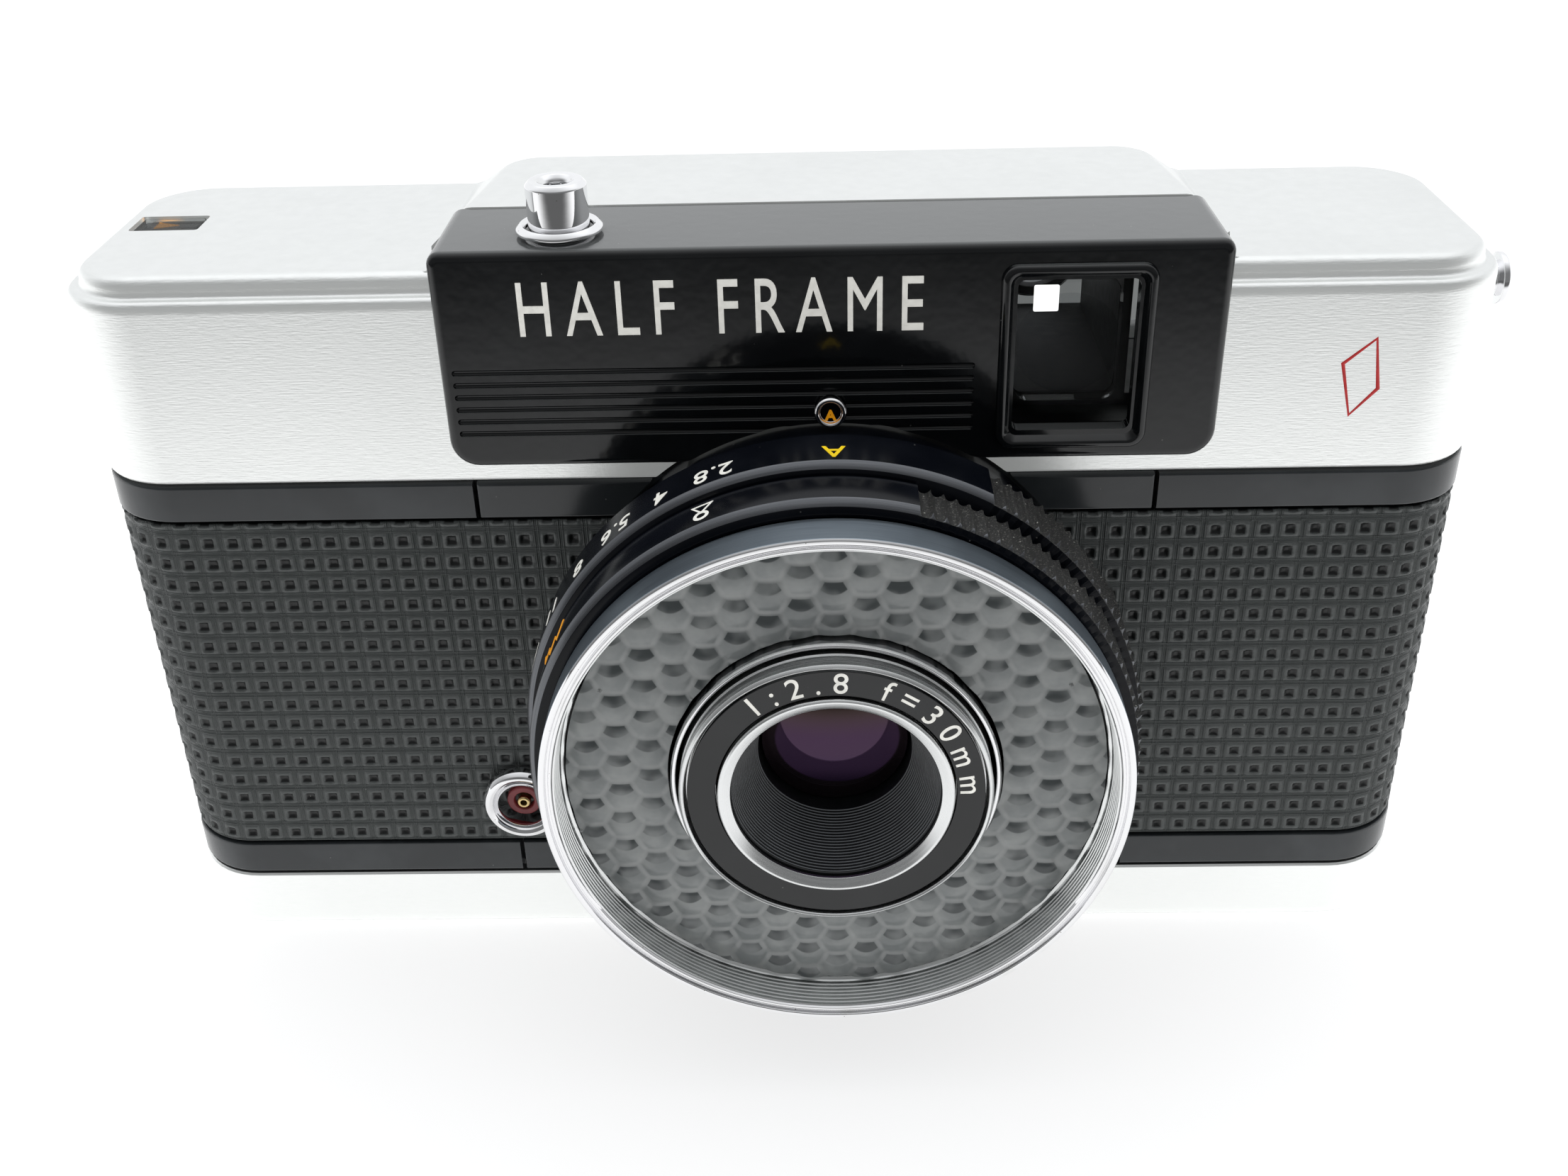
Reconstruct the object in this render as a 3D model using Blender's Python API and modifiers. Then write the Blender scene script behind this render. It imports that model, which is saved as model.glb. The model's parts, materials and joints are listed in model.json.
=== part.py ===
"""Half frame camera with a zone focus lens, a ring-shaped light cell round the lens and a hinged back.

Frame: X to the viewer's right, the lens faces -Y, Z up. The origin is on the base, under the
lens axis and half way through the body's depth. Sizes are in millimetres, and MM turns them
into metres where a shape is made.
"""

import math

import bmesh
import bpy
from mathutils import Matrix, Vector

MM = 0.001
GAP = 0.3
WALL = 1.2

# The body shell: a flat box with round upright corners, in three storeys.
BODY_WIDTH = 117.0
BODY_DEPTH = 27.8
BODY_CENTRE_X = -4.3
CORNER_RADIUS = 7.0
LEFT = BODY_CENTRE_X - BODY_WIDTH / 2
RIGHT = BODY_CENTRE_X + BODY_WIDTH / 2
FRONT = -BODY_DEPTH / 2
BACK = BODY_DEPTH / 2
BASE_TOP = 6.8
LOWER_BAND_TOP = 10.3
UPPER_BAND_BOTTOM = 45.3
COVER_BOTTOM = 48.8
LEDGE_Z = 64.9
TIER_INSET = 1.23
TIER_TOP = 66.6
HUMP_TOP = 69.2
PANEL_LEFT = -29.8
PANEL_RIGHT = 27.0
DOOR_TOP = 51.5
DOOR_FRONT_Y = 8.9
SKIN_INSET = 0.15
SKIN_INNER_INSET = 0.6
CORE_INSET = 1.0

# The black front of the top cover, with the finder window and the release button.
FASCIA_HALF_WIDTH = 31.2
FASCIA_FRONT_Y = FRONT - 1.5
FASCIA_BACK_Y = -4.1
FASCIA_BOTTOM = 50.8
FASCIA_TOP = 69.1
FASCIA_WALL = 1.3
WINDOW_LEFT = 14.6
WINDOW_RIGHT = 24.1
WINDOW_BOTTOM = 53.5
WINDOW_TOP = 66.2
WINDOW_RIM = 1.3
FINDER_X = (WINDOW_LEFT + WINDOW_RIGHT) / 2
GROOVE_COUNT = 6
GROOVE_LEFT = -30.2
GROOVE_RIGHT = 11.5
GROOVE_PITCH = 1.06
GROOVE_BOTTOM = 53.9
BUTTON_X = -21.2
BUTTON_Y = -10.8
BUTTON_RADIUS = 2.43
BUTTON_TOP = 73.4
LEVER_PIVOT_Y = -4.0
LEVER_Z = 57.3

# The lens. Its parts are turned about the lens axis; heights are measured forward from the body's front.
LENS_Z = 32.0
HOUSING_RADIUS = 22.0
ARCH_RADIUS = 22.4
SLEEVE_RADIUS = 20.4
APERTURE_RING_RADIUS = 25.0
FOCUS_RING_RADIUS = 24.2
FILTER_RING_RADIUS = 23.0
BARREL_RADIUS = 12.2
GLASS_RADIUS = 5.9
SOCKET_X = -29.05
SOCKET_Z = 15.6
BLADE_ARM = 11.0
BLADE_RADIUS = 5.4
EYEPIECE_Z = 59.0

# The film transport, in the body and under the top cover.
CHAMBER_RADIUS = 11.6
CHAMBER_BOTTOM = 13.9
CHAMBER_TOP = 50.1
TAKE_UP_X = -45.5
SUPPLY_X = 36.5
FRAME_WIDTH = 18.0
FRAME_HEIGHT = 24.0
SHAFT_Y = 4.0
WHEEL_X = -48.5
WHEEL_RADIUS = 10.8
GEAR_TEETH = 24
GEAR_PITCH_RADIUS = 7.25
GEAR_BOTTOM = 51.85
GEAR_TOP = 53.05
IDLER_X = WHEEL_X + 2 * GEAR_PITCH_RADIUS
SPROCKET_X = IDLER_X + 2 * GEAR_PITCH_RADIUS
SPROCKET_TEETH = 8
SPROCKET_RADIUS = 6.05
DIAL_X = -50.5
DIAL_Y = 1.45
DIAL_RADIUS = 9.4

# The hinge of the back, at the right end, and the fixings.
HINGE_X = 52.85
HINGE_Y = 7.5
KNUCKLE_RADIUS = 1.2
KNUCKLE_HOLE = 0.8
HINGE_CHANNEL_Y = 5.6
TRIPOD_X = -30.0
LUG_Y = -3.9
LUG_Z = 61.5
BASE_SCREW_X = 46.0

FACING = {
    "UP": (0.0, 0.0, 0.0),
    "FRONT": (math.pi / 2, 0.0, 0.0),
    "BACK": (-math.pi / 2, 0.0, 0.0),
    "RIGHT": (0.0, math.pi / 2, 0.0),
    "LEFT": (0.0, -math.pi / 2, 0.0),
}


def clear_scene():
    for obj in list(bpy.data.objects):
        bpy.data.objects.remove(obj, do_unlink=True)


def new_collection(name):
    collection = bpy.data.collections.new(name)
    bpy.context.scene.collection.children.link(collection)
    return collection


clear_scene()
PARTS = new_collection("half_frame_camera")
TOOLS = new_collection("cutting_tools")


def finish_material(name, colour, roughness, metallic=0.0, alpha=1.0):
    material = bpy.data.materials.new(name)
    material.use_nodes = True
    shader = material.node_tree.nodes["Principled BSDF"]
    shader.inputs["Base Color"].default_value = (*colour, 1.0)
    shader.inputs["Roughness"].default_value = roughness
    shader.inputs["Metallic"].default_value = metallic
    shader.inputs["Alpha"].default_value = alpha
    return material


SATIN_SILVER = finish_material("satin_silver", (0.78, 0.78, 0.80), 0.35, 1.0)
GLOSS_BLACK = finish_material("gloss_black", (0.012, 0.012, 0.013), 0.12)
CHARCOAL = finish_material("charcoal_paint", (0.035, 0.04, 0.042), 0.3)
LEATHERETTE = finish_material("leatherette", (0.035, 0.04, 0.042), 0.5)
CHROME = finish_material("chrome", (0.85, 0.85, 0.87), 0.08, 1.0)
RING_BLACK = finish_material("ring_black", (0.01, 0.01, 0.012), 0.2, 0.3)
CAST_METAL = finish_material("cast_metal", (0.3, 0.3, 0.31), 0.5, 1.0)
MATTE_BLACK = finish_material("matte_black", (0.01, 0.01, 0.01), 0.7)
CLEAR = finish_material("clear_glass", (0.9, 0.92, 0.95), 0.03, 0.0, 0.35)
COATED_GLASS = finish_material("coated_glass", (0.35, 0.25, 0.45), 0.03, 0.0, 0.45)
SELENIUM = finish_material("selenium", (0.12, 0.12, 0.13), 0.45, 0.4)
BRASS = finish_material("brass", (0.75, 0.6, 0.3), 0.3, 1.0)
RED_PLASTIC = finish_material("red_plastic", (0.5, 0.06, 0.05), 0.4)
DIAL_GREY = finish_material("dial_grey", (0.12, 0.12, 0.12), 0.45)
STEEL = finish_material("steel", (0.55, 0.55, 0.57), 0.3, 1.0)


def add_object(name, data, material, origin=(0, 0, 0)):
    """Puts a shape in the scene: as a piece when it has a material, or as a hidden tool when it has none."""
    obj = bpy.data.objects.new(name, data)
    obj.location = Vector(origin) * MM
    if material is None:
        TOOLS.objects.link(obj)
        obj.hide_render = True
        obj.display_type = "WIRE"
    else:
        PARTS.objects.link(obj)
        data.materials.append(material)
    return obj


def mesh_object(name, bm, material, origin):
    bmesh.ops.translate(bm, verts=bm.verts, vec=-Vector(origin))
    bmesh.ops.scale(bm, verts=bm.verts, vec=(MM, MM, MM))
    mesh = bpy.data.meshes.new(name)
    bm.to_mesh(mesh)
    bm.free()
    return add_object(name, mesh, material, origin)


def bevel(bm, edges, width, segments):
    bmesh.ops.bevel(bm, geom=edges, offset=width, segments=segments, profile=0.5, affect="EDGES")


def edges_along(bm, axis):
    """The edges that run parallel to an axis, 0 for X, 1 for Y and 2 for Z."""
    found = []
    for edge in bm.edges:
        direction = edge.verts[1].co - edge.verts[0].co
        if abs(direction[axis]) > 0.999 * direction.length:
            found.append(edge)
    return found


def edges_at(bm, height):
    return [e for e in bm.edges if all(abs(v.co.z - height) < 1e-4 for v in e.verts)]


def block(
    name, low, high, material=None, corner=0.0, along=2, top=0.0, bottom=0.0, origin=(0, 0, 0), segments=5
):
    """A box between two corners, with the edges along one axis rounded, then its top or bottom rim."""
    bm = bmesh.new()
    bmesh.ops.create_cube(bm, size=1.0)
    size = Vector(high) - Vector(low)
    bmesh.ops.scale(bm, verts=bm.verts, vec=size)
    bmesh.ops.translate(bm, verts=bm.verts, vec=(Vector(high) + Vector(low)) / 2)
    if corner:
        bevel(bm, edges_along(bm, along), corner, segments)
    if top:
        bevel(bm, edges_at(bm, high[2]), top, 2)
    if bottom:
        bevel(bm, edges_at(bm, low[2]), bottom, 2)
    return mesh_object(name, bm, material, origin)


def body_block(name, inset, z_low, z_high, material=None, **rims):
    """A slab with the body's outline, drawn in by an inset."""
    low = (LEFT + inset, FRONT + inset, z_low)
    high = (RIGHT - inset, BACK - inset, z_high)
    return block(name, low, high, material, corner=CORNER_RADIUS - inset, **rims)


def turned(name, profile, centre, facing, material=None, segments=40, closed=True):
    """A profile of (radius, height) points turned about an axis through centre.

    The points run down the outer side. An open profile starts and ends on the axis.
    """
    mesh = bpy.data.meshes.new(name)
    points = [(radius * MM, 0.0, height * MM) for radius, height in profile]
    edges = [(i, i + 1) for i in range(len(points) - 1)]
    if closed:
        edges.append((len(points) - 1, 0))
    mesh.from_pydata(points, edges, [])
    obj = add_object(name, mesh, material, centre)
    obj.rotation_euler = FACING[facing]
    screw = obj.modifiers.new("Turn", "SCREW")
    screw.steps = segments
    screw.render_steps = segments
    screw.use_merge_vertices = True
    screw.merge_threshold = 1e-6
    screw.use_smooth_shade = True
    return obj


def rod(name, radius, low, high, centre, facing, material=None, segments=20):
    """A plain cylinder from one height to another along an axis through centre."""
    profile = [(0, high), (radius, high), (radius, low), (0, low)]
    return turned(name, profile, centre, facing, material, segments, closed=False)


def ring_profile(outer, inner, low, high):
    return [(outer, high), (outer, low), (inner, low), (inner, high)]


def on_lens(name, profile, material=None, segments=40, closed=True):
    """A piece turned about the lens axis; its heights are measured forward from the body's front."""
    return turned(name, profile, (0, FRONT, LENS_Z), "FRONT", material, segments, closed)


def lens_rod(name, radius, low, high, material=None):
    return rod(name, radius, low, high, (0, FRONT, LENS_Z), "FRONT", material, 40)


def arc(centre, radius, start, end, steps):
    """Points on a circle from one angle to another, in degrees."""
    points = []
    for i in range(steps + 1):
        angle = math.radians(start + (end - start) * i / steps)
        points.append((centre[0] + radius * math.cos(angle), centre[1] + radius * math.sin(angle)))
    return points


def flat_plate(name, outline, thickness, origin, facing, material):
    """A flat outline given thickness, as a filled 2D curve."""
    curve = bpy.data.curves.new(name, "CURVE")
    curve.dimensions = "2D"
    curve.fill_mode = "BOTH"
    curve.extrude = thickness / 2 * MM
    spline = curve.splines.new("POLY")
    spline.points.add(len(outline) - 1)
    for point, (x, y) in zip(spline.points, outline):
        point.co = (x * MM, y * MM, 0.0, 1.0)
    spline.use_cyclic_u = True
    obj = add_object(name, curve, material, origin)
    obj.rotation_euler = FACING[facing]
    return obj


def as_mesh(obj):
    """The curve object as a closed mesh object with the same name and place."""
    bpy.context.view_layer.update()
    evaluated = obj.evaluated_get(bpy.context.evaluated_depsgraph_get())
    mesh = bpy.data.meshes.new_from_object(evaluated)
    bm = bmesh.new()
    bm.from_mesh(mesh)
    bmesh.ops.remove_doubles(bm, verts=bm.verts, dist=1e-7)
    bmesh.ops.recalc_face_normals(bm, faces=bm.faces)
    bm.to_mesh(mesh)
    bm.free()
    name = obj.name
    place = obj.matrix_world.copy()
    hidden = obj.hide_render
    bpy.data.objects.remove(obj, do_unlink=True)
    made = bpy.data.objects.new(name, mesh)
    made.matrix_world = place
    made.hide_render = hidden
    if hidden:
        made.display_type = "WIRE"
    (TOOLS if hidden else PARTS).objects.link(made)
    return made


def boolean(target, operation, tools):
    for tool in tools:
        modifier = target.modifiers.new(tool.name, "BOOLEAN")
        modifier.operation = operation
        modifier.object = tool


def cut(target, *tools):
    boolean(target, "DIFFERENCE", tools)


def join(target, *tools):
    boolean(target, "UNION", tools)


def gear_outline(teeth, root, tip, phase, root_share=0.62, tip_share=0.22):
    """Trapezoid teeth; the shares are each tooth's width at root and tip over the tooth pitch."""
    outline = []
    pitch = 2 * math.pi / teeth
    for i in range(teeth):
        middle = math.radians(phase) + i * pitch
        for radius, offset in ((root, -root_share), (tip, -tip_share), (tip, tip_share), (root, root_share)):
            angle = middle + offset * pitch / 2
            outline.append((radius * math.cos(angle), radius * math.sin(angle)))
    return outline


def hang_on(axis_name, place, pieces):
    """Parents pieces to an empty on their joint's axis, without moving them."""
    empty = bpy.data.objects.new(axis_name, None)
    empty.location = Vector(place) * MM
    PARTS.objects.link(empty)
    for obj in pieces:
        obj.parent = empty
        obj.matrix_parent_inverse = Matrix.Translation(-Vector(place) * MM)


def make_chassis():
    """The body casting: a core with two bands, two film chambers, the dark box and the film gate."""
    chassis = body_block("chassis", CORE_INSET, BASE_TOP + 0.6, COVER_BOTTOM - 0.6, CAST_METAL)
    lower_band = body_block("lower_band", 0.0, BASE_TOP + GAP / 2, LOWER_BAND_TOP)
    upper_band = body_block("upper_band", 0.0, UPPER_BAND_BOTTOM, COVER_BOTTOM - GAP / 2)
    deck = body_block("deck", 2.4, UPPER_BAND_BOTTOM + 2, DOOR_TOP)
    join(chassis, lower_band, upper_band, deck)
    cut(chassis, block("behind_chassis", (LEFT - 5, DOOR_FRONT_Y - GAP, 0), (RIGHT + 5, 30, 60)))
    join(chassis, block("film_rails", (-28, 7.5, 13.4), (24, 9.3, 49.9)))
    beside = FASCIA_HALF_WIDTH + GAP
    behind = FASCIA_BACK_Y + GAP
    cut(chassis, block("fascia_space", (-beside, -20, FASCIA_BOTTOM - GAP), (beside, behind, 60)))
    panel_low = (PANEL_LEFT - GAP, FRONT - 1, 0)
    panel_high = (PANEL_RIGHT + GAP, FRONT + 1.6, COVER_BOTTOM)
    cut(chassis, block("panel_recess", panel_low, panel_high))
    for side, x in (("take_up", TAKE_UP_X), ("supply", SUPPLY_X)):
        round_name = side + "_chamber"
        round_part = rod(round_name, CHAMBER_RADIUS, CHAMBER_BOTTOM, CHAMBER_TOP, (x, 0, 0), "UP", None, 32)
        low = (x - CHAMBER_RADIUS, 0.5, CHAMBER_BOTTOM)
        high = (x + CHAMBER_RADIUS, BACK, CHAMBER_TOP)
        cut(chassis, round_part, block(side + "_mouth", low, high))
    sprocket = (SPROCKET_X, SHAFT_Y, 0)
    well = rod("sprocket_well", SPROCKET_RADIUS + 0.6, CHAMBER_BOTTOM, CHAMBER_TOP, sprocket, "UP")
    shaft_hole = rod("sprocket_hole", 1.6, CHAMBER_TOP - 1, DOOR_TOP + 1, sprocket, "UP", None, 16)
    dark_box = block("dark_box", (-10.8, -9.0, LENS_Z - 13.5), (10.8, 7.4, LENS_Z + 13.5))
    half = (FRAME_WIDTH / 2, FRAME_HEIGHT / 2)
    gate = block("film_gate", (-half[0], 6.0, LENS_Z - half[1]), (half[0], 12.0, LENS_Z + half[1]))
    lens_hole = lens_rod("lens_hole", 9.0, -6.0, 2.0)
    socket_hole = rod("socket_hole", 3.3, -8.0, 2.0, (SOCKET_X, FRONT, SOCKET_Z), "FRONT", None, 20)
    cut(chassis, well, shaft_hole, dark_box, gate, lens_hole, socket_hole)
    channel = block("hinge_channel", (HINGE_X - 1.9, HINGE_CHANNEL_Y, 0), (RIGHT + 2, 12, DOOR_TOP + 1))
    cut(chassis, channel)
    knuckle = rod("chassis_knuckle", KNUCKLE_RADIUS, 20.0, 36.0, (HINGE_X, HINGE_Y, 0), "UP", None, 16)
    web = block("chassis_web", (HINGE_X - 3.0, HINGE_Y - 0.9, 20.4), (HINGE_X - 0.3, HINGE_Y + 0.4, 35.6))
    join(chassis, web, knuckle)
    cut(chassis, rod("chassis_pin_hole", KNUCKLE_HOLE, 19.0, 37.0, (HINGE_X, HINGE_Y, 0), "UP", None, 12))
    return chassis


def make_front_panel():
    """The centre plate that carries the lens, with its own length of both bands."""
    back_y = FRONT + 1.3
    low_z = BASE_TOP + GAP / 2
    high_z = COVER_BOTTOM - GAP / 2
    panel = block("front_panel", (PANEL_LEFT, FRONT + 0.9, low_z), (PANEL_RIGHT, back_y, high_z), CHARCOAL)
    for name, low, high in (("lower_rail", low_z, LOWER_BAND_TOP), ("upper_rail", UPPER_BAND_BOTTOM, high_z)):
        join(panel, block(name, (PANEL_LEFT, FRONT, low), (PANEL_RIGHT, FRONT + 1.1, high)))
    cut(panel, lens_rod("rail_clearance", ARCH_RADIUS, -0.8, 3.0), lens_rod("panel_hole", 17.0, -3.0, 3.0))
    cut(panel, rod("panel_socket_hole", 3.3, -3.0, 3.0, (SOCKET_X, FRONT, SOCKET_Z), "FRONT", None, 20))


def make_skin(name, *unwanted):
    """A covering sheet that wraps the body's outline between the two bands, less the unwanted boxes."""
    low = LOWER_BAND_TOP + GAP
    high = UPPER_BAND_BOTTOM - GAP
    skin = body_block(name, SKIN_INSET, low, high, LEATHERETTE)
    cut(skin, body_block(name + "_inside", SKIN_INNER_INSET, low - 2, high + 2))
    for i, (x_low, y_low, x_high, y_high) in enumerate(unwanted):
        cut(skin, block(f"{name}_end_{i}", (x_low, y_low, 0), (x_high, y_high, 60)))
    return skin


def make_front_leatherette():
    """Two sheets, because the lens mount is as tall as the space between the bands."""
    beyond = 80
    left_end = (-beyond, DOOR_FRONT_Y - GAP, beyond, beyond)
    left = make_skin("front_leatherette_left", left_end, (0, -beyond, beyond, beyond))
    cut(left, lens_rod("left_lens_hole", ARCH_RADIUS, -3.0, 3.0))
    cut(left, rod("skin_socket_hole", 3.3, -3.0, 3.0, (SOCKET_X, FRONT, SOCKET_Z), "FRONT", None, 20))
    right_end = (-beyond, HINGE_CHANNEL_Y - GAP, beyond, beyond)
    right = make_skin("front_leatherette_right", right_end, (-beyond, -beyond, 0, beyond))
    cut(right, lens_rod("right_lens_hole", ARCH_RADIUS, -3.0, 3.0))


def make_bottom_cover():
    cover = body_block("bottom_cover", 0.0, 0.0, BASE_TOP - GAP / 2, SATIN_SILVER, bottom=1.0)
    cut(cover, body_block("bottom_inside", WALL, WALL, BASE_TOP + 2))
    cut(cover, rod("tripod_hole", 5.3, -1.0, 3.0, (TRIPOD_X, 0, 0), "UP"))
    cut(cover, rod("screw_well", 1.8, -1.0, 3.0, (BASE_SCREW_X, 0, 0), "UP", None, 16))
    screw = [(0, 4.6), (0.8, 4.6), (0.8, 0.9), (1.5, 0.9), (1.5, 0.15), (0, 0.15)]
    turned("bottom_cover_screw", screw, (BASE_SCREW_X, 0, 0), "UP", STEEL, 16, closed=False)
    flange = [(5.0, 6.2), (5.0, 3.0), (7.0, 3.0), (7.0, 1.5), (5.0, 1.5), (5.0, 0.0), (3.1, 0.0), (3.1, 6.2)]
    turned("tripod_bush", flange, (TRIPOD_X, 0, 0), "UP", STEEL, 24)


def hump_block(name, material=None):
    """The top cover's raised middle: upright at the fascia, with a slope at each flank and the back."""
    bm = bmesh.new()
    bmesh.ops.create_cube(bm, size=1.0)
    for vert in bm.verts:
        side = 1 if vert.co.x > 0 else -1
        is_top = vert.co.z > 0
        if vert.co.y > 0:
            half_width = 28.0 if is_top else 31.6
            y = 10.9 if is_top else 12.5
        else:
            half_width = FASCIA_HALF_WIDTH if is_top else FASCIA_HALF_WIDTH + 0.5
            y = -12.0
        vert.co = (side * half_width, y, HUMP_TOP if is_top else TIER_TOP - 0.6)
    return mesh_object(name, bm, material, (0, 0, 0))


def make_top_cover():
    """The pressed upper shell, with openings for the fascia, finder, counter, wheel and back."""
    cover = body_block("top_cover", 0.0, COVER_BOTTOM + GAP / 2, LEDGE_Z, SATIN_SILVER, top=0.9)
    tier = body_block("tier", TIER_INSET, LEDGE_Z - 3, TIER_TOP, top=0.5)
    join(cover, tier, hump_block("hump"))
    cut(cover, body_block("cover_inside", WALL, 40, LEDGE_Z - WALL))
    cut(cover, body_block("tier_inside", TIER_INSET + WALL + 0.1, 60, TIER_TOP - WALL))
    cut(cover, block("hump_inside", (-27.0, -12, 60), (27.0, 9.6, HUMP_TOP - 1.3)))
    notch_x = FASCIA_HALF_WIDTH + GAP
    notch_y = FASCIA_BACK_Y + GAP
    cut(cover, block("fascia_notch", (-notch_x, -20, FASCIA_BOTTOM - GAP), (notch_x, notch_y, 80)))
    cut(cover, block("door_notch", (LEFT - 5, DOOR_FRONT_Y - GAP, 40), (RIGHT + 5, 20, DOOR_TOP + GAP)))
    cut(cover, block("hinge_notch", (HINGE_X - 1.9, HINGE_CHANNEL_Y, 40), (RIGHT + 5, 20, DOOR_TOP + GAP)))
    cut(cover, rod("wheel_slot", WHEEL_RADIUS + 0.5, 53.1, 56.3, (WHEEL_X, SHAFT_Y, 0), "UP", None, 40))
    cut(cover, rod("eyepiece_hole", 4.6, 5.0, 20.0, (FINDER_X, 0, EYEPIECE_Z), "BACK"))
    cut(cover, block("counter_opening", (-60.0, -0.5, 62), (-54.0, 3.4, 70)))
    cut(cover, lens_rod("cover_arch", ARCH_RADIUS, -1.7, 4.0))
    cut(cover, rod("lug_hole", 1.5, 45.0, 60.0, (0, LUG_Y, LUG_Z), "RIGHT", None, 16))
    cut(cover, rod("screw_hole", 1.9, 55.0, 70.0, (0, LUG_Y, LUG_Z), "LEFT", None, 16))
    lug = [(0, 56.6), (1.9, 56.6), (2.2, 56.3), (2.2, 54.5), (1.2, 54.5), (1.2, 51.9), (0, 51.9)]
    turned("strap_lug", lug, (0, LUG_Y, LUG_Z), "RIGHT", CHROME, 20, closed=False)
    screw = [(0, 62.9), (1.3, 62.9), (1.6, 62.7), (1.6, 62.0), (0.8, 62.0), (0.8, 57.0), (0, 57.0)]
    turned("top_cover_screw", screw, (0, LUG_Y, LUG_Z), "LEFT", STEEL, 16, closed=False)


def make_fascia():
    """The black moulding: a front plate, a top plate and two cheeks, with a raised rim round the window."""
    low = (-FASCIA_HALF_WIDTH, FASCIA_FRONT_Y, FASCIA_BOTTOM)
    high = (FASCIA_HALF_WIDTH, FASCIA_BACK_Y, FASCIA_TOP)
    fascia = block("fascia", low, high, GLOSS_BLACK, corner=0.6, along=1, segments=2)
    inner_x = FASCIA_HALF_WIDTH - FASCIA_WALL
    inner_y = FASCIA_FRONT_Y + FASCIA_WALL
    cut(fascia, block("fascia_inside", (-inner_x, inner_y, 40), (inner_x, 5, FASCIA_TOP - FASCIA_WALL)))
    rim_low = (WINDOW_LEFT - WINDOW_RIM, FASCIA_FRONT_Y - 0.6, WINDOW_BOTTOM - WINDOW_RIM - 0.2)
    rim_high = (WINDOW_RIGHT + WINDOW_RIM, FASCIA_FRONT_Y + 0.7, WINDOW_TOP + WINDOW_RIM)
    join(fascia, block("window_rim", rim_low, rim_high, corner=1.2, along=1, segments=3))
    opening_low = (WINDOW_LEFT, -30, WINDOW_BOTTOM)
    opening_high = (WINDOW_RIGHT, -10, WINDOW_TOP)
    cut(fascia, block("window_opening", opening_low, opening_high, corner=0.6, along=1, segments=2))
    for i in range(GROOVE_COUNT):
        z = GROOVE_BOTTOM + i * GROOVE_PITCH
        low = (GROOVE_LEFT, FASCIA_FRONT_Y - 1, z - 0.2)
        high = (GROOVE_RIGHT, FASCIA_FRONT_Y + 0.35, z + 0.2)
        cut(fascia, block(f"groove_{i}", low, high))
    cut(fascia, rod("button_hole", BUTTON_RADIUS + GAP, 60, 75, (BUTTON_X, BUTTON_Y, 0), "UP"))
    cut(fascia, rod("stud_hole", 0.9, -1.0, 3.0, (0, FRONT, 55.75), "FRONT", None, 12))
    cut(fascia, lens_rod("fascia_arch", ARCH_RADIUS, -1.0, 4.0))
    stud = [(0, 2.7), (1.15, 2.7), (1.3, 2.55), (1.3, 1.8), (0.6, 1.8), (0.6, -0.4), (0, -0.4)]
    turned("index_stud", stud, (0, FRONT, 55.75), "FRONT", CHROME, 20, closed=False)
    collar = ring_profile(3.45, BUTTON_RADIUS + GAP, FASCIA_TOP + GAP, FASCIA_TOP + 0.9)
    turned("button_collar", collar, (BUTTON_X, BUTTON_Y, 0), "UP", CHROME, 24)


def make_finder():
    """The viewfinder from front window to eyepiece, with the low-light flag behind the first pane."""
    pane_low = (WINDOW_LEFT - 0.4, -13.8, WINDOW_BOTTOM - 0.4)
    pane_high = (WINDOW_RIGHT + 0.4, -13.0, WINDOW_TOP + 0.4)
    block("viewfinder_window", pane_low, pane_high, CLEAR)
    lens_low = (WINDOW_LEFT + 0.5, -11.5, 54.2)
    lens_high = (WINDOW_RIGHT - 0.5, -9.6, 64.4)
    block("viewfinder_objective", lens_low, lens_high, CLEAR, corner=0.8, along=1, segments=2)
    tube = block("viewfinder_tube", (14.0, -9.2, 53.4), (24.7, 11.2, 65.0), MATTE_BLACK)
    cut(tube, block("tube_inside", (14.8, -12, 54.2), (23.9, 15, 64.2)))
    eye = (FINDER_X, 0, EYEPIECE_Z)
    frame = [(5.6, 15.0), (5.6, 14.2), (4.3, 14.2), (4.3, 12.2), (3.5, 12.2), (3.5, 15.0)]
    turned("eyepiece_frame", frame, eye, "BACK", MATTE_BLACK, 24)
    rod("eyepiece_lens", 3.2, 12.6, 14.2, eye, "BACK", CLEAR, 24)
    flag_pivot = (27.8, -12.2, 53.6)
    flag_low = (26.4, -12.4, 53.0)
    flag_high = (29.2, -12.0, 63.0)
    block("red_flag", flag_low, flag_high, RED_PLASTIC, origin=flag_pivot)


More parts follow.
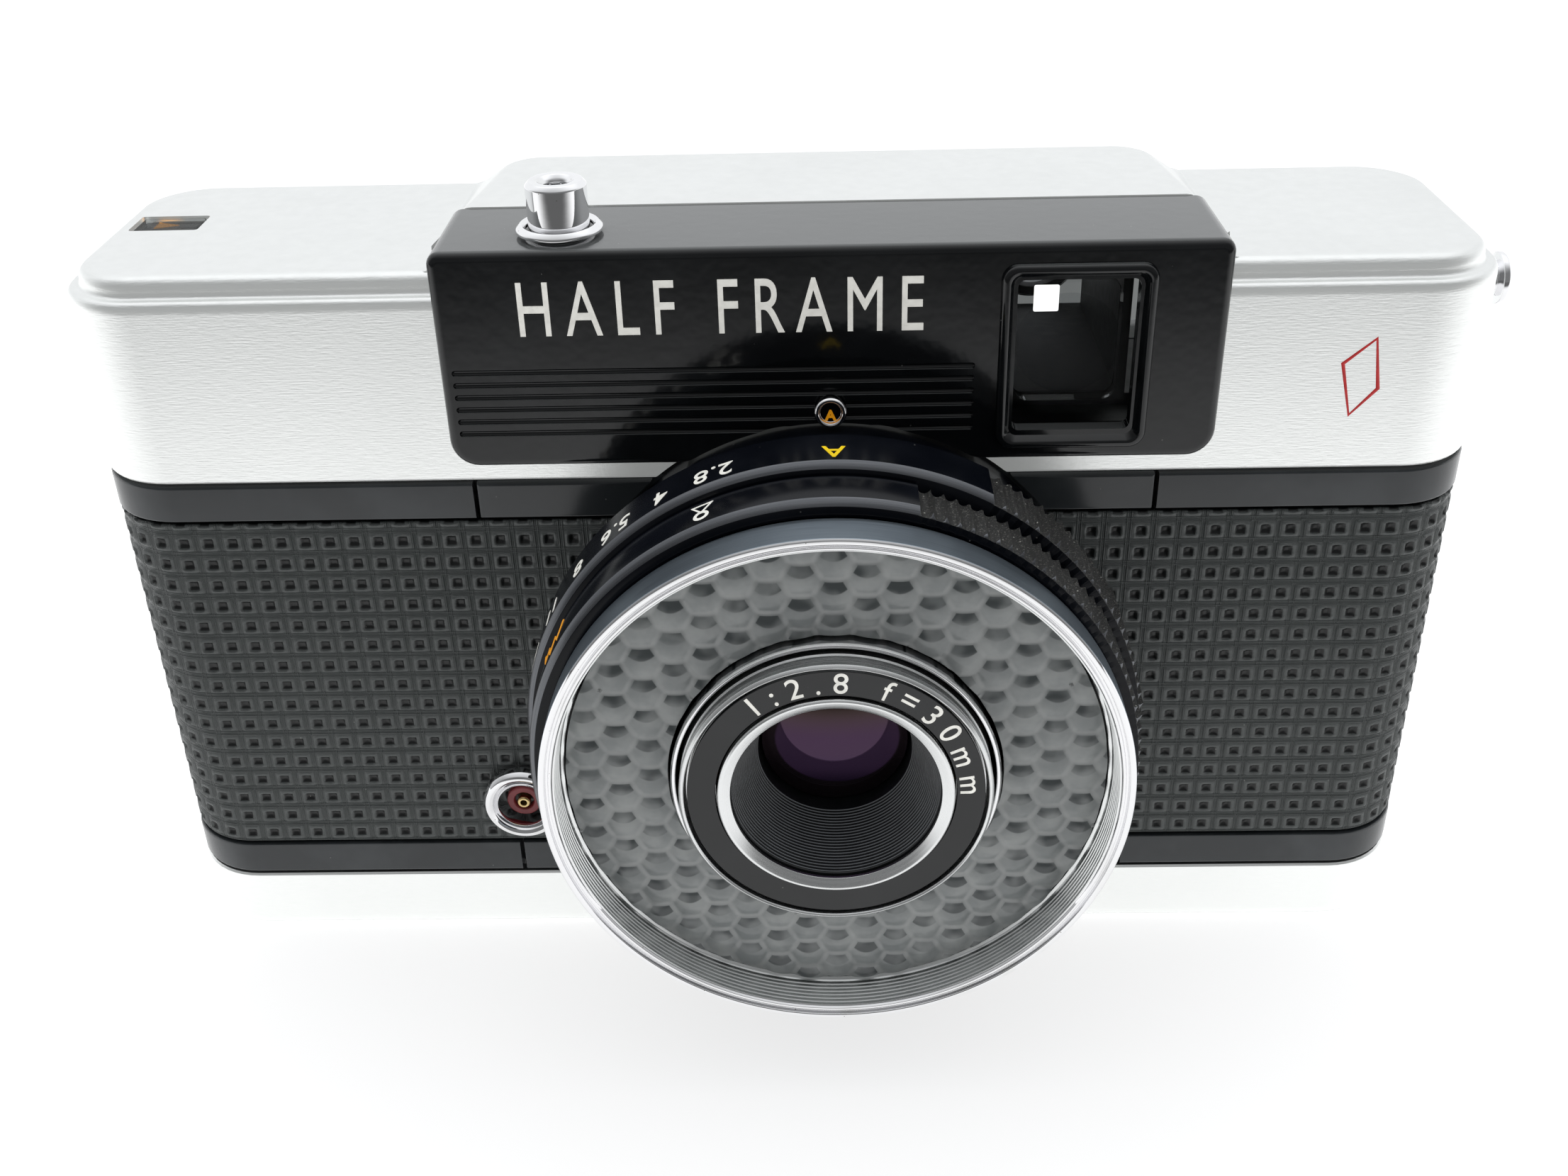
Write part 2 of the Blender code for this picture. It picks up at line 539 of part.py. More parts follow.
def make_release():
    """The shutter button, its return spring and bracket, and the lever that it pushes."""
    axis = (BUTTON_X, BUTTON_Y, 0)
    button = [
        (0, 69.9), (1.25, 69.9), (1.25, 73.2), (1.45, BUTTON_TOP), (2.15, BUTTON_TOP),
        (BUTTON_RADIUS, 73.1), (BUTTON_RADIUS, 66.6), (1.2, 66.6), (1.2, 58.4), (0.8, 58.0), (0, 58.0),
    ]
    turned("release_button", button, axis, "UP", CHROME, 20, closed=False)
    spring = bpy.data.curves.new("return_spring", "CURVE")
    spring.dimensions = "3D"
    spring.bevel_depth = 0.22 * MM
    spring.bevel_resolution = 1
    spring.use_fill_caps = True
    coil = spring.splines.new("POLY")
    steps = 36
    coil.points.add(steps)
    for i, point in enumerate(coil.points):
        angle = 2 * math.pi * 4.0 * i / steps
        height = 60.8 + 5.2 * i / steps
        point.co = (1.78 * math.cos(angle) * MM, 1.78 * math.sin(angle) * MM, height * MM, 1.0)
    add_object("return_spring", spring, STEEL, axis)
    bracket = block("release_bracket", (-25.4, -13.2, 59.3), (-17.4, -8.0, 60.2), STEEL)
    join(bracket, block("bracket_leg", (-25.4, -9.6, FASCIA_BOTTOM), (-24.6, -8.0, 59.8)))
    cut(bracket, rod("bracket_hole", 1.6, 50, 70, axis, "UP", None, 16))
    pivot = (BUTTON_X, LEVER_PIVOT_Y, LEVER_Z)
    lever = block("release_lever", (-23.2, -12.4, 56.9), (-19.2, -3.4, 57.7), STEEL, origin=pivot)
    join(lever, rod("lever_barrel", 0.9, -3.0, 3.0, pivot, "RIGHT", None, 12))


def make_lens_housing():
    """The fixed mount that the rings turn on, with the shutter's two plates and the rear half of the lens."""
    housing = [
        (SLEEVE_RADIUS, 17.9), (SLEEVE_RADIUS, 8.3), (HOUSING_RADIUS, 8.3), (HOUSING_RADIUS, -0.5),
        (14.0, -0.5), (14.0, 1.2), (18.8, 1.2), (18.8, 17.9),
    ]
    on_lens("lens_housing", housing, RING_BLACK)
    on_lens("shutter_plate", ring_profile(18.4, 7.0, 1.5, 2.5), CAST_METAL, 32)
    on_lens("shutter_cover", ring_profile(18.4, 6.5, 6.2, 7.2), MATTE_BLACK, 32)
    helicoid = [(10.6, 16.5), (10.6, 8.5), (14.0, 8.5), (14.0, 7.5), (9.4, 7.5), (9.4, 16.5)]
    on_lens("focus_helicoid", helicoid, BRASS, 32)
    middle = [(0, 11.0), (6.0, 10.6), (9.1, 10.2), (9.1, 8.4), (6.0, 8.0), (0, 7.8)]
    on_lens("middle_element", middle, COATED_GLASS, 24, closed=False)
    on_lens("rear_lens_cell", ring_profile(8.0, 6.5, -9.0, 1.2), RING_BLACK, 32)
    rear = [(0, -4.6), (4.0, -4.8), (6.2, -5.4), (6.2, -7.6), (0, -7.9)]
    on_lens("rear_element", rear, COATED_GLASS, 24, closed=False)


def make_lens_rings():
    """The aperture ring, the focus ring, and the fixed ring in front of them that takes a filter."""
    aperture = [
        (APERTURE_RING_RADIUS - 0.7, 13.4), (APERTURE_RING_RADIUS, 12.9), (APERTURE_RING_RADIUS, 8.6),
        (SLEEVE_RADIUS + 0.4, 8.6), (SLEEVE_RADIUS + 0.4, 13.4),
    ]
    on_lens("aperture_ring", aperture, RING_BLACK)
    focus = [
        (23.3, 18.3), (FOCUS_RING_RADIUS, 18.1), (FOCUS_RING_RADIUS, 13.7),
        (SLEEVE_RADIUS + 0.4, 13.7), (SLEEVE_RADIUS + 0.4, 17.9), (22.9, 17.9),
    ]
    on_lens("focus_ring", focus, RING_BLACK)
    rim = [
        (22.6, 22.1), (FILTER_RING_RADIUS, 21.7), (FILTER_RING_RADIUS, 19.1), (22.5, 19.1), (22.5, 18.2),
        (20.9, 18.2), (20.9, 20.2), (21.75, 20.2), (21.75, 21.9), (22.0, 22.1),
    ]
    on_lens("filter_ring", rim, CHROME)


def make_light_cell():
    """The ring-shaped light cell behind its lens-studded window, and the chrome ring at its inner edge."""
    on_lens("cell_window", ring_profile(20.6, 13.2, 18.2, 19.7), CLEAR)
    on_lens("selenium_cell", ring_profile(18.5, 13.3, 16.9, 17.9), SELENIUM)
    on_lens("cell_ring", ring_profile(12.95, 12.5, 16.9, 20.0), CHROME)


def make_focus_barrel():
    """The front cell, which moves forward as the focus ring turns."""
    barrel = [
        (BARREL_RADIUS, 21.8), (BARREL_RADIUS, 9.5), (11.0, 9.5), (11.0, 19.6),
        (9.3, 19.6), (9.3, 20.7), (11.8, 20.7), (11.8, 21.8),
    ]
    bezel = [(8.8, 21.9), (9.15, 21.6), (9.15, 21.2), (8.3, 21.2), (8.2, 21.7)]
    cone = [(9.0, 20.9), (9.0, 12.3), (6.2, 12.3), (6.2, 15.2), (8.15, 20.9)]
    front = [(0, 15.0), (3.5, 14.7), (GLASS_RADIUS, 14.0), (GLASS_RADIUS, 12.7), (0, 12.4)]
    pieces = [
        on_lens("focus_barrel", barrel, CHROME),
        on_lens("name_ring", ring_profile(11.5, 9.45, 21.0, 21.5), GLOSS_BLACK, 40),
        on_lens("bezel_ring", bezel, CHROME, 40),
        on_lens("baffle_cone", cone, MATTE_BLACK, 32),
        on_lens("front_element", front, COATED_GLASS, 32, closed=False),
    ]
    hang_on("focus_slide_axis", (0, FRONT, LENS_Z), pieces)


def blade_outline(turned_by):
    """A leaf pivoted at its ear: a disc on the end of an arm, turned about the ear by an angle in degrees."""
    outline = arc((BLADE_ARM, 0), BLADE_RADIUS, 220, 500, 18) + arc((0, 0), 1.6, 70, 290, 8)
    angle = math.radians(turned_by)
    return [
        (x * math.cos(angle) - y * math.sin(angle), x * math.sin(angle) + y * math.cos(angle))
        for x, y in outline
    ]


def make_leaf(name, pivot, turned_by, height, material):
    """A shutter or aperture leaf, 0.3 mm thick, at a height in front of the body."""
    place = (pivot[0], FRONT - height, LENS_Z + pivot[1])
    flat_plate(name, blade_outline(turned_by), 0.3, place, "FRONT", material)


def make_shutter():
    """Two shutter blades that close over the opening, and two aperture vanes that rest clear of it."""
    make_leaf("shutter_blade_left", (-BLADE_ARM, 0), 0, 3.15, STEEL)
    make_leaf("shutter_blade_right", (BLADE_ARM, 0), 180, 3.75, STEEL)
    make_leaf("aperture_vane_upper", (0, BLADE_ARM), -40, 4.75, STEEL)
    make_leaf("aperture_vane_lower", (0, -BLADE_ARM), 140, 5.35, STEEL)


def make_sync_socket():
    """The flash socket low on the front: a chrome shell, a red insulator and a brass pin."""
    place = (SOCKET_X, FRONT, SOCKET_Z)
    shell = [
        (3.3, 1.5), (3.74, 1.1), (3.74, 0.15), (2.9, 0.15),
        (2.9, -6.0), (2.3, -6.0), (2.3, 1.2), (2.6, 1.5),
    ]
    turned("sync_socket_shell", shell, place, "FRONT", CHROME, 24)
    turned("sync_socket_insulator", ring_profile(2.0, 0.9, -6.0, 0.5), place, "FRONT", RED_PLASTIC, 16)
    rod("sync_socket_pin", 0.6, -6.5, 0.8, place, "FRONT", BRASS, 12)


def gear(name, x, phase, material=None):
    """One of the three equal gears on the deck, as a mesh, ready to be joined."""
    outline = gear_outline(GEAR_TEETH, GEAR_PITCH_RADIUS - 0.7, GEAR_PITCH_RADIUS + 0.5, phase)
    middle = (GEAR_BOTTOM + GEAR_TOP) / 2
    return as_mesh(flat_plate(name, outline, GEAR_TOP - GEAR_BOTTOM, (x, SHAFT_Y, middle), "UP", material))


def make_advance():
    """The thumb wheel, the idler and the film sprocket, with gears in mesh on the deck."""
    knurls = gear_outline(30, WHEEL_RADIUS - 0.5, WHEEL_RADIUS, 0, 0.7, 0.3)
    wheel = as_mesh(flat_plate("advance_wheel", knurls, 2.6, (WHEEL_X, SHAFT_Y, 54.7), "UP", STEEL))
    hub = rod("wheel_hub", 4.0, 52.4, 54.0, (WHEEL_X, SHAFT_Y, 0), "UP")
    join(wheel, hub, gear("wheel_gear", WHEEL_X, 0))
    half_tooth = 180.0 / GEAR_TEETH
    gear("idler_gear", IDLER_X, half_tooth, BRASS)
    profile = [(0, 52.4), (1.2, 52.4), (1.2, 49.6), (4.6, 49.6), (4.6, 14.4), (0, 14.4)]
    sprocket = turned("film_sprocket", profile, (SPROCKET_X, SHAFT_Y, 0), "UP", STEEL, 24, closed=False)
    join(sprocket, gear("sprocket_gear", SPROCKET_X, 0))
    teeth = gear_outline(SPROCKET_TEETH, 5.2, SPROCKET_RADIUS, 0, 0.34, 0.18)
    for end, z in (("lower", 16.5), ("upper", 47.5)):
        tooth_ring = flat_plate(f"{end}_teeth", teeth, 1.6, (SPROCKET_X, SHAFT_Y, z), "UP", None)
        join(sprocket, as_mesh(tooth_ring))


def make_counter():
    """The frame counter's dial under its small window in the top cover."""
    profile = [(0, 64.6), (DIAL_RADIUS, 64.6), (DIAL_RADIUS, 63.9), (1.5, 63.9), (1.5, 62.4), (0, 62.4)]
    turned("counter_dial", profile, (DIAL_X, DIAL_Y, 0), "UP", DIAL_GREY, 32, closed=False)
    block("counter_window", (-59.7, -0.2, 65.4), (-54.3, 3.1, 66.5), CLEAR)


def make_meter():
    """The meter movement under the top cover, with its needle."""
    block("meter_case", (36.0, -9.0, 52.2), (47.0, 1.0, 60.0), MATTE_BLACK, corner=1.5, segments=3)
    pivot = (41.5, -4.0, 60.5)
    block("meter_needle", (33.5, -4.25, 60.35), (42.3, -3.75, 60.65), RED_PLASTIC, origin=pivot)


def make_back_door():
    """The hinged back: a shallow tray with two bands, its covering sheet and the pressure plate."""
    hinge = (HINGE_X, HINGE_Y, 0)
    door = body_block("back_door", CORE_INSET - 0.1, 8.0, DOOR_TOP - 0.7, CHARCOAL)
    join(door, body_block("door_lower_band", 0.0, BASE_TOP + GAP, LOWER_BAND_TOP))
    join(door, body_block("door_upper_band", 0.0, UPPER_BAND_BOTTOM, DOOR_TOP))
    cut(door, body_block("door_inside", 1.9, 8.6, 50.2))
    cut(door, block("door_front", (LEFT - 5, -30, 0), (RIGHT + 5, DOOR_FRONT_Y, 60)))
    for end, low, high in (("lower", 8.0, 19.6), ("upper", 36.4, DOOR_TOP - 0.2)):
        knuckle = rod(f"{end}_knuckle", KNUCKLE_RADIUS, low, high, hinge, "UP", None, 16)
        web_low = (HINGE_X - 0.5, HINGE_Y + 0.3, low + 0.4)
        web = block(f"{end}_web", web_low, (HINGE_X + 0.05, 9.4, high - 0.4))
        join(door, web, knuckle)
    cut(door, rod("door_pin_hole", KNUCKLE_HOLE, 6.0, 50.0, hinge, "UP", None, 12))
    rod("hinge_pin", 0.5, 7.3, 48.3, hinge, "UP", STEEL, 12)
    skin = make_skin("door_leatherette", (-80, -80, 80, DOOR_FRONT_Y + 0.1))
    plate_low = (-12.5, 9.7, 15.0)
    plate_high = (16.0, 10.5, 49.0)
    plate = block("pressure_plate", plate_low, plate_high, STEEL, corner=2.0, along=1, segments=3)
    hang_on("back_door_axis", hinge, [door, skin, plate])


def make_latch():
    """The slide on the left end that lets go of the back, with a raised grip."""
    low = (LEFT - 0.75, 2.4, 22.0)
    high = (LEFT - 0.15, 7.0, 33.0)
    latch = block("door_latch", low, high, CHROME, corner=0.8, along=0, segments=2)
    join(latch, block("latch_grip", (LEFT - 1.15, 3.0, 25.5), (LEFT - 0.5, 6.4, 29.5)))


def build():
    make_chassis()
    make_front_panel()
    make_front_leatherette()
    make_bottom_cover()
    make_top_cover()
    make_fascia()
    make_finder()
    make_release()
    make_lens_housing()
    make_lens_rings()
    make_light_cell()
    make_focus_barrel()
    make_shutter()
    make_sync_socket()
    make_advance()
    make_counter()
    make_meter()
    make_back_door()
    make_latch()


build()
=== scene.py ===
"""Detailed looks for the half frame camera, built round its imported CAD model.

Lengths are in millimetres in the CAD frame (X to the viewer's right, the lens faces -Y, Z up) and
become metres when a mesh is made. Lens parts use the angle from the top of the lens, clockwise as
the viewer sees it, and the distance ahead of the body's front face.
"""

import json
import math

import bmesh
import bpy
import numpy as np
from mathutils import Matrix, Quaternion, Vector


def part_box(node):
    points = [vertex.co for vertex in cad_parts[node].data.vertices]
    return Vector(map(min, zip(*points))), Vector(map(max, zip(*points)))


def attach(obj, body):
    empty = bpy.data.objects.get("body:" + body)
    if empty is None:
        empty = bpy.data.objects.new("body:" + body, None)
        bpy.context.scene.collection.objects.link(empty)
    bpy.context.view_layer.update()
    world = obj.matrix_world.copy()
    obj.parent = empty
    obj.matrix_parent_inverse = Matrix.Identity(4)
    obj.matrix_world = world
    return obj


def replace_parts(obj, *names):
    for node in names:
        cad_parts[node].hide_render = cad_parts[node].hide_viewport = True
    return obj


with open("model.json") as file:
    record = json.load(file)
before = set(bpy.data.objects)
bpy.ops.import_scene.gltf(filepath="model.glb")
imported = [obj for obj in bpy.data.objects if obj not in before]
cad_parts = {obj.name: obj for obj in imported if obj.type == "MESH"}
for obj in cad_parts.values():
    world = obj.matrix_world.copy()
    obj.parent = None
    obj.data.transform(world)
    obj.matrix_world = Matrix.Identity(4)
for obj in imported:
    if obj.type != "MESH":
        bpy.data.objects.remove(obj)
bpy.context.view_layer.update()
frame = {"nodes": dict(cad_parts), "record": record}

MM = 0.001
# The usual gap between pieces, in millimetres.
GAP = 0.3
# Points closer than this, in metres, are one point.
WELD = 1e-7
# A capital letter's height in the built-in font, as a share of the font size.
CAPITAL = 0.729

NODE_BODY = {node: body for body, nodes in frame["record"]["behaviour"]["bodies"].items() for node in nodes}
NODE_SLOT = {part["node"]: part["material_slot"] for part in frame["record"]["subparts"]}


def node_box(node):
    """The lowest and highest corner of a CAD node, in millimetres."""
    low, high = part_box(node)
    return [v / MM for v in low], [v / MM for v in high]


def middle_of(node):
    """The middle of a CAD node's box, in millimetres."""
    return [sum(pair) / 2 for pair in zip(*node_box(node))]


def upright_axis(node):
    """The upright axis through the middle of a CAD node."""
    x, y, _ = middle_of(node)
    return (x, y, 0), "up"


def ahead(node):
    """The nearest and farthest distance of a node ahead of the body's front face."""
    low, high = node_box(node)
    return FRONT - high[1], FRONT - low[1]


def reach(node):
    """The outer radius of a round CAD node."""
    low, high = node_box(node)
    return (high[0] - low[0]) / 2


# Sizes that come from the CAD model.
(LEFT, FRONT, BAND_BOTTOM), (RIGHT, _, DECK_TOP) = node_box("chassis")
BACK = node_box("back_door")[1][1]
DOOR_TOP = node_box("back_door")[1][2]
(_, _, COVER_BOTTOM), (_, _, HUMP_TOP) = node_box("top_cover")
BASE_TOP = node_box("bottom_cover")[1][2]
SKIN_LOW = node_box("front_leatherette_left")[0][2]
SKIN_HIGH = node_box("front_leatherette_left")[1][2]
(FASCIA_LEFT, _, FASCIA_BOTTOM), (FASCIA_RIGHT, FASCIA_BACK, FASCIA_TOP) = node_box("fascia")
PANEL_LEFT = node_box("front_panel")[0][0]
PANEL_RIGHT = node_box("front_panel")[1][0]
LENS_Z = middle_of("lens_housing")[2]
SOCKET = middle_of("sync_socket_pin")
BUTTON_TOP = node_box("release_button")[1][2]
WHEEL = middle_of("advance_wheel")
EYEPIECE = middle_of("eyepiece_frame")
LUG = middle_of("strap_lug")
STUD = middle_of("index_stud")

# Sizes inside those boxes.
CORNER_RADIUS = 7.0
LOWER_BAND_TOP = 10.3
UPPER_BAND_BOTTOM = 45.3
LEDGE_Z = 64.9
TIER_TOP = 66.6
COVER_WALL = 1.2
FASCIA_FRONT = FRONT - 1.5
FASCIA_WALL = 1.3
DOOR_FRONT = 8.9
ARCH_RADIUS = 22.4
WINDOW = (14.6, 53.5, 24.1, 66.2)
CHAMBER_RADIUS = 11.6
CHAMBER_LOW = 13.9
CHAMBER_HIGH = 50.1
HINGE_X = 52.85
HINGE_Y = 7.5
CELL_PITCH = 2.1
RING_BEVEL = 0.6
FLUTE_PITCH = 1.07
FLUTE_DEPTH = 0.6
RING_STEP = 0.5
KNUCKLE_RADIUS = 1.2
PIN_HOLE_RADIUS = 0.8
HINGE_ROOM = 1.9
SOCKET_HOLE_RADIUS = 3.3


# ---------------------------------------------------------------- materials


class Field:
    """A number that a material works out at each point. Arithmetic on it adds math nodes."""

    def __init__(self, tree, socket):
        self.tree = tree
        self.socket = socket

    def math(self, operation, *others):
        """The result of a math node with this field as its first input."""
        node = self.tree.nodes.new("ShaderNodeMath")
        node.operation = operation
        for slot, value in zip(node.inputs, (self, *others)):
            if isinstance(value, Field):
                self.tree.links.new(value.socket, slot)
            else:
                slot.default_value = value
        return Field(self.tree, node.outputs[0])

    def __add__(self, other):
        return self.math("ADD", other)

    def __sub__(self, other):
        return self.math("SUBTRACT", other)

    def __rsub__(self, other):
        return self.math("MULTIPLY", -1.0).math("ADD", other)

    def __mul__(self, other):
        return self.math("MULTIPLY", other)

    def __truediv__(self, other):
        return self.math("DIVIDE", other)

    def __mod__(self, other):
        return self.math("FLOORED_MODULO", other)

    def __abs__(self):
        return self.math("ABSOLUTE")

    __radd__ = __add__
    __rmul__ = __mul__


def larger(a, b):
    """The larger of two values, for a field or for an array."""
    return a.math("MAXIMUM", b) if isinstance(a, Field) else np.maximum(a, b)


def smaller(a, b):
    """The smaller of two values, for a field or for an array."""
    return a.math("MINIMUM", b) if isinstance(a, Field) else np.minimum(a, b)


def rise(value, start, end):
    """Climbs smoothly from 0 at start to 1 at end."""
    t = larger(smaller((value - start) / (end - start), 1.0), 0.0)
    return t * t * (3.0 - t * 2.0)


def length_of(a, b):
    """The length of the flat vector (a, b), for fields or for arrays."""
    squares = a * a + b * b
    return squares.math("SQRT") if isinstance(squares, Field) else np.sqrt(squares)


def hexagon_cell(x, z, pitch=2.8):
    """Where a point lies in its hexagon, from the hexagon's centre, for flat-topped hexagons."""
    column = pitch * math.sqrt(3) / 2
    even = ((x + column) % (2 * column) - column, (z + pitch / 2) % pitch - pitch / 2)
    odd = (x % (2 * column) - column, z % pitch - pitch / 2)
    far = rise(length_of(*even) - length_of(*odd), -0.001, 0.001)
    return tuple(a + (b - a) * far for a, b in zip(even, odd))


def hexagon_edge(cell_x, cell_z):
    """How far a point is from its hexagon's centre, measured towards the nearest side."""
    return larger(abs(cell_z), abs(cell_z) * 0.5 + abs(cell_x) * 0.866)


# Places of the colour sockets on Blender's mix node.
MIX_FIRST = 6
MIX_SECOND = 7
MIX_RESULT = 2


class Finish:
    """A new procedural material: its nodes read a point's place in millimetres."""

    def __init__(self, name, rough, metal=0.0, **inputs):
        self.material = bpy.data.materials.new(name)
        self.material.use_nodes = True
        self.tree = self.material.node_tree
        self.shader = self.tree.nodes["Principled BSDF"]
        self.shader.inputs["Roughness"].default_value = rough
        self.shader.inputs["Metallic"].default_value = metal
        for key, value in inputs.items():
            self.shader.inputs[key.replace("_", " ")].default_value = value
        self.place = self.add("ShaderNodeTexCoord").outputs["Object"]
        self.last_bump = None

    def add(self, kind):
        return self.tree.nodes.new(kind)

    def link(self, source, target):
        self.tree.links.new(source.socket if isinstance(source, Field) else source, target)

    def split(self, socket, scale):
        node = self.add("ShaderNodeSeparateXYZ")
        self.link(socket, node.inputs[0])
        return [Field(self.tree, out) * scale for out in node.outputs]

    def xyz(self):
        """The point's place as three fields, in millimetres."""
        return self.split(self.place, 1 / MM)

    def uv(self):
        """The first two texture coordinates, which the meshes below store in millimetres."""
        node = self.add("ShaderNodeUVMap")
        return self.split(node.outputs[0], 1.0)[:2]

    def facing_up(self):
        """How far the surface looks up: 1 for a level top, 0 for an upright face."""
        normal = self.add("ShaderNodeNewGeometry").outputs["Normal"]
        return self.split(normal, 1.0)[2]

    def scaled_place(self, factors):
        """The point's place, multiplied along each axis by its factor."""
        scale = self.add("ShaderNodeVectorMath")
        scale.operation = "MULTIPLY"
        self.link(self.place, scale.inputs[0])
        scale.inputs[1].default_value = factors
        return scale.outputs[0]

    def noise(self, size, stretch=(1, 1, 1), detail=3.0):
        """Clouds from 0 to 1, about size millimetres across and longer where stretched."""
        place = self.scaled_place([1 / (MM * size * s) for s in stretch])
        clouds = self.add("ShaderNodeTexNoise")
        clouds.inputs["Scale"].default_value = 1.0
        clouds.inputs["Detail"].default_value = detail
        self.link(place, clouds.inputs["Vector"])
        return Field(self.tree, clouds.outputs["Fac"])

    def specks(self, size, share):
        """Small round spots: 1 inside a spot and 0 outside; share is a spot's size in its cell."""
        place = self.scaled_place([1 / (MM * size)] * 3)
        cells = self.add("ShaderNodeTexVoronoi")
        cells.inputs["Scale"].default_value = 1.0
        self.link(place, cells.inputs["Vector"])
        return 1.0 - rise(Field(self.tree, cells.outputs["Distance"]), share * 0.6, share)

    def colour(self, *stops, target="Base Color"):
        """Colour from (colour) or (colour, field, colour, ...): each field mixes in the next colour."""
        current = stops[0]
        for field, other in zip(stops[1::2], stops[2::2]):
            mix = self.add("ShaderNodeMix")
            mix.data_type = "RGBA"
            self.link(field, mix.inputs["Factor"])
            self.put(current, mix.inputs[MIX_FIRST])
            self.put(other, mix.inputs[MIX_SECOND])
            current = mix.outputs[MIX_RESULT]
        self.put(current, self.shader.inputs[target])

    def put(self, value, socket):
        """Sets a colour socket from a plain colour or from another socket."""
        if isinstance(value, tuple):
            socket.default_value = (*value, 1.0)
        else:
            self.link(value, socket)

    def glow(self, colour, strength):
        """Light that the surface gives off. The strength is a number or a field."""
        self.put(colour, self.shader.inputs["Emission Color"])
        socket = self.shader.inputs["Emission Strength"]
        if isinstance(strength, Field):
            self.link(strength, socket)
        else:
            socket.default_value = strength

    def rough(self, field):
        self.link(field, self.shader.inputs["Roughness"])

    def bump(self, field, depth):
        """Raises the surface by up to depth millimetres where the field is 1."""
        node = self.add("ShaderNodeBump")
        node.inputs["Strength"].default_value = 1.0
        node.inputs["Distance"].default_value = depth * MM
        self.link(field, node.inputs["Height"])
        if self.last_bump:
            self.link(self.last_bump, node.inputs["Normal"])
        self.last_bump = node.outputs[0]
        self.link(self.last_bump, self.shader.inputs["Normal"])
        return self


def satin_silver():
    """Satin plating with a fine grain along the body, slightly duller patches from handling, and a faint
    painted glow on faces that do not look up.
    """
    finish = Finish("satin_silver_plating", 0.3, 1.0)
    patches = finish.noise(12.0)
    grain = finish.noise(0.13, (9, 9, 1))
    finish.colour(
        (0.85, 0.86, 0.85), rise(patches, 0.4, 0.9), (0.81, 0.82, 0.81),
        grain * 0.6, (0.75, 0.76, 0.75),
    )
    finish.rough(0.30 + patches * 0.04 + grain * 0.10)
    # Painted light: faces that do not look up glow faintly, so the upright fronts stay light.
    finish.glow((0.97, 1.0, 0.98), (1.0 - rise(finish.facing_up(), 0.3, 0.9)) * 0.2)
    finish.bump(grain, 0.016)
    return finish.bump(finish.noise(0.3), 0.008).material


def polished_chrome():
    """Mirror chrome with faint smears and pin holes."""
    finish = Finish("polished_chrome", 0.05, 1.0)
    smears = finish.noise(3.0, (1, 1, 3))
    pits = finish.specks(1.1, 0.05)
    finish.colour((0.86, 0.86, 0.87), rise(smears, 0.5, 0.85), (0.78, 0.78, 0.77), pits, (0.3, 0.28, 0.25))
    finish.rough(0.04 + rise(smears, 0.45, 0.9) * 0.1)
    return finish.bump(finish.noise(1.6), 0.003).material


def turned_metal(name, light, dark, axis_lines=0.1, rough=0.2):
    """Lathe-turned metal: fine rings that follow the height along the lens axis."""
    finish = Finish(name, 0.28, 1.0)
    rings = finish.noise(axis_lines, (60, 1, 60))
    finish.colour(dark, rings, light)
    finish.rough(rough + rings * 0.15)
    return finish.bump(rings, 0.004).material


def glossy_paint(name, colour, rough, peel=0.01, dust=0.5, haze=0.0, shine=0.5):
    """Stoved enamel with orange peel, a little dust, and a painted grey reflection where the surface looks
    up.
    """
    finish = Finish(name, rough, 0.0, Specular_IOR_Level=shine)
    waves = finish.noise(1.1, detail=1.0)
    film = finish.noise(7.0)
    motes = finish.specks(2.3, 0.035) * dust
    lighter = tuple(c * 1.6 + 0.004 for c in colour)
    # Painted reflection: level tops are mixed towards grey by haze, standing in for the bright surroundings
    # they mirror.
    painted_top_reflection = rise(finish.facing_up(), 0.8, 1.0) * haze
    finish.colour(
        colour, rise(film, 0.4, 0.8), lighter,
        painted_top_reflection, (0.24, 0.25, 0.25), motes, (0.3, 0.3, 0.28),
    )
    finish.rough(rough + film * 0.06 + motes * 0.3)
    return finish.bump(waves, peel).material


def leatherette():
    """Embossed sheet: fine ribs run both ways between the raised squares, and the pits are darkened with
    painted shade.
    """
    finish = Finish("embossed_leatherette", 0.42)
    u, v = finish.uv()
    cell_u = abs(u % CELL_PITCH - CELL_PITCH / 2)
    cell_v = abs(v % CELL_PITCH - CELL_PITCH / 2)
    between_u = rise(cell_u, 0.68, 0.76)
    between_v = rise(cell_v, 0.68, 0.76)
    ribs_u = abs((cell_u % 0.22) / 0.11 - 1.0) * between_u
    ribs_v = abs((cell_v % 0.22) / 0.11 - 1.0) * between_v
    pit = 1.0 - rise(larger(cell_u, cell_v), 0.36, 0.46)
    mottle = finish.noise(2.5)
    # The pit mask paints shade into the pits, near black.
    finish.colour(
        (0.070, 0.078, 0.077), mottle, (0.096, 0.106, 0.103), pit, (0.006, 0.007, 0.007),
        finish.specks(1.9, 0.04) * 0.7, (0.35, 0.35, 0.33),
    )
    finish.rough(0.28 + mottle * 0.16)
    finish.bump(ribs_u + ribs_v, 0.09)
    return finish.bump(finish.noise(0.16), 0.02).material


def crinkle_black():
    """Rough cast black of the knurled grips: its grit is raised, and its pale grains and bright specks are
    painted glints.
    """
    finish = Finish("crinkle_black", 0.4)
    grit_and_glint = finish.noise(0.14, detail=4.0)
    # Painted glints: the grit's pale grains and the bright specks are light painted into the colour.
    finish.colour(
        (0.026, 0.026, 0.025), rise(grit_and_glint, 0.54, 0.72), (0.20, 0.195, 0.18),
        finish.specks(0.9, 0.09), (0.6, 0.6, 0.55),
    )
    finish.rough(0.32 + grit_and_glint * 0.3)
    return finish.bump(grit_and_glint, 0.09).material


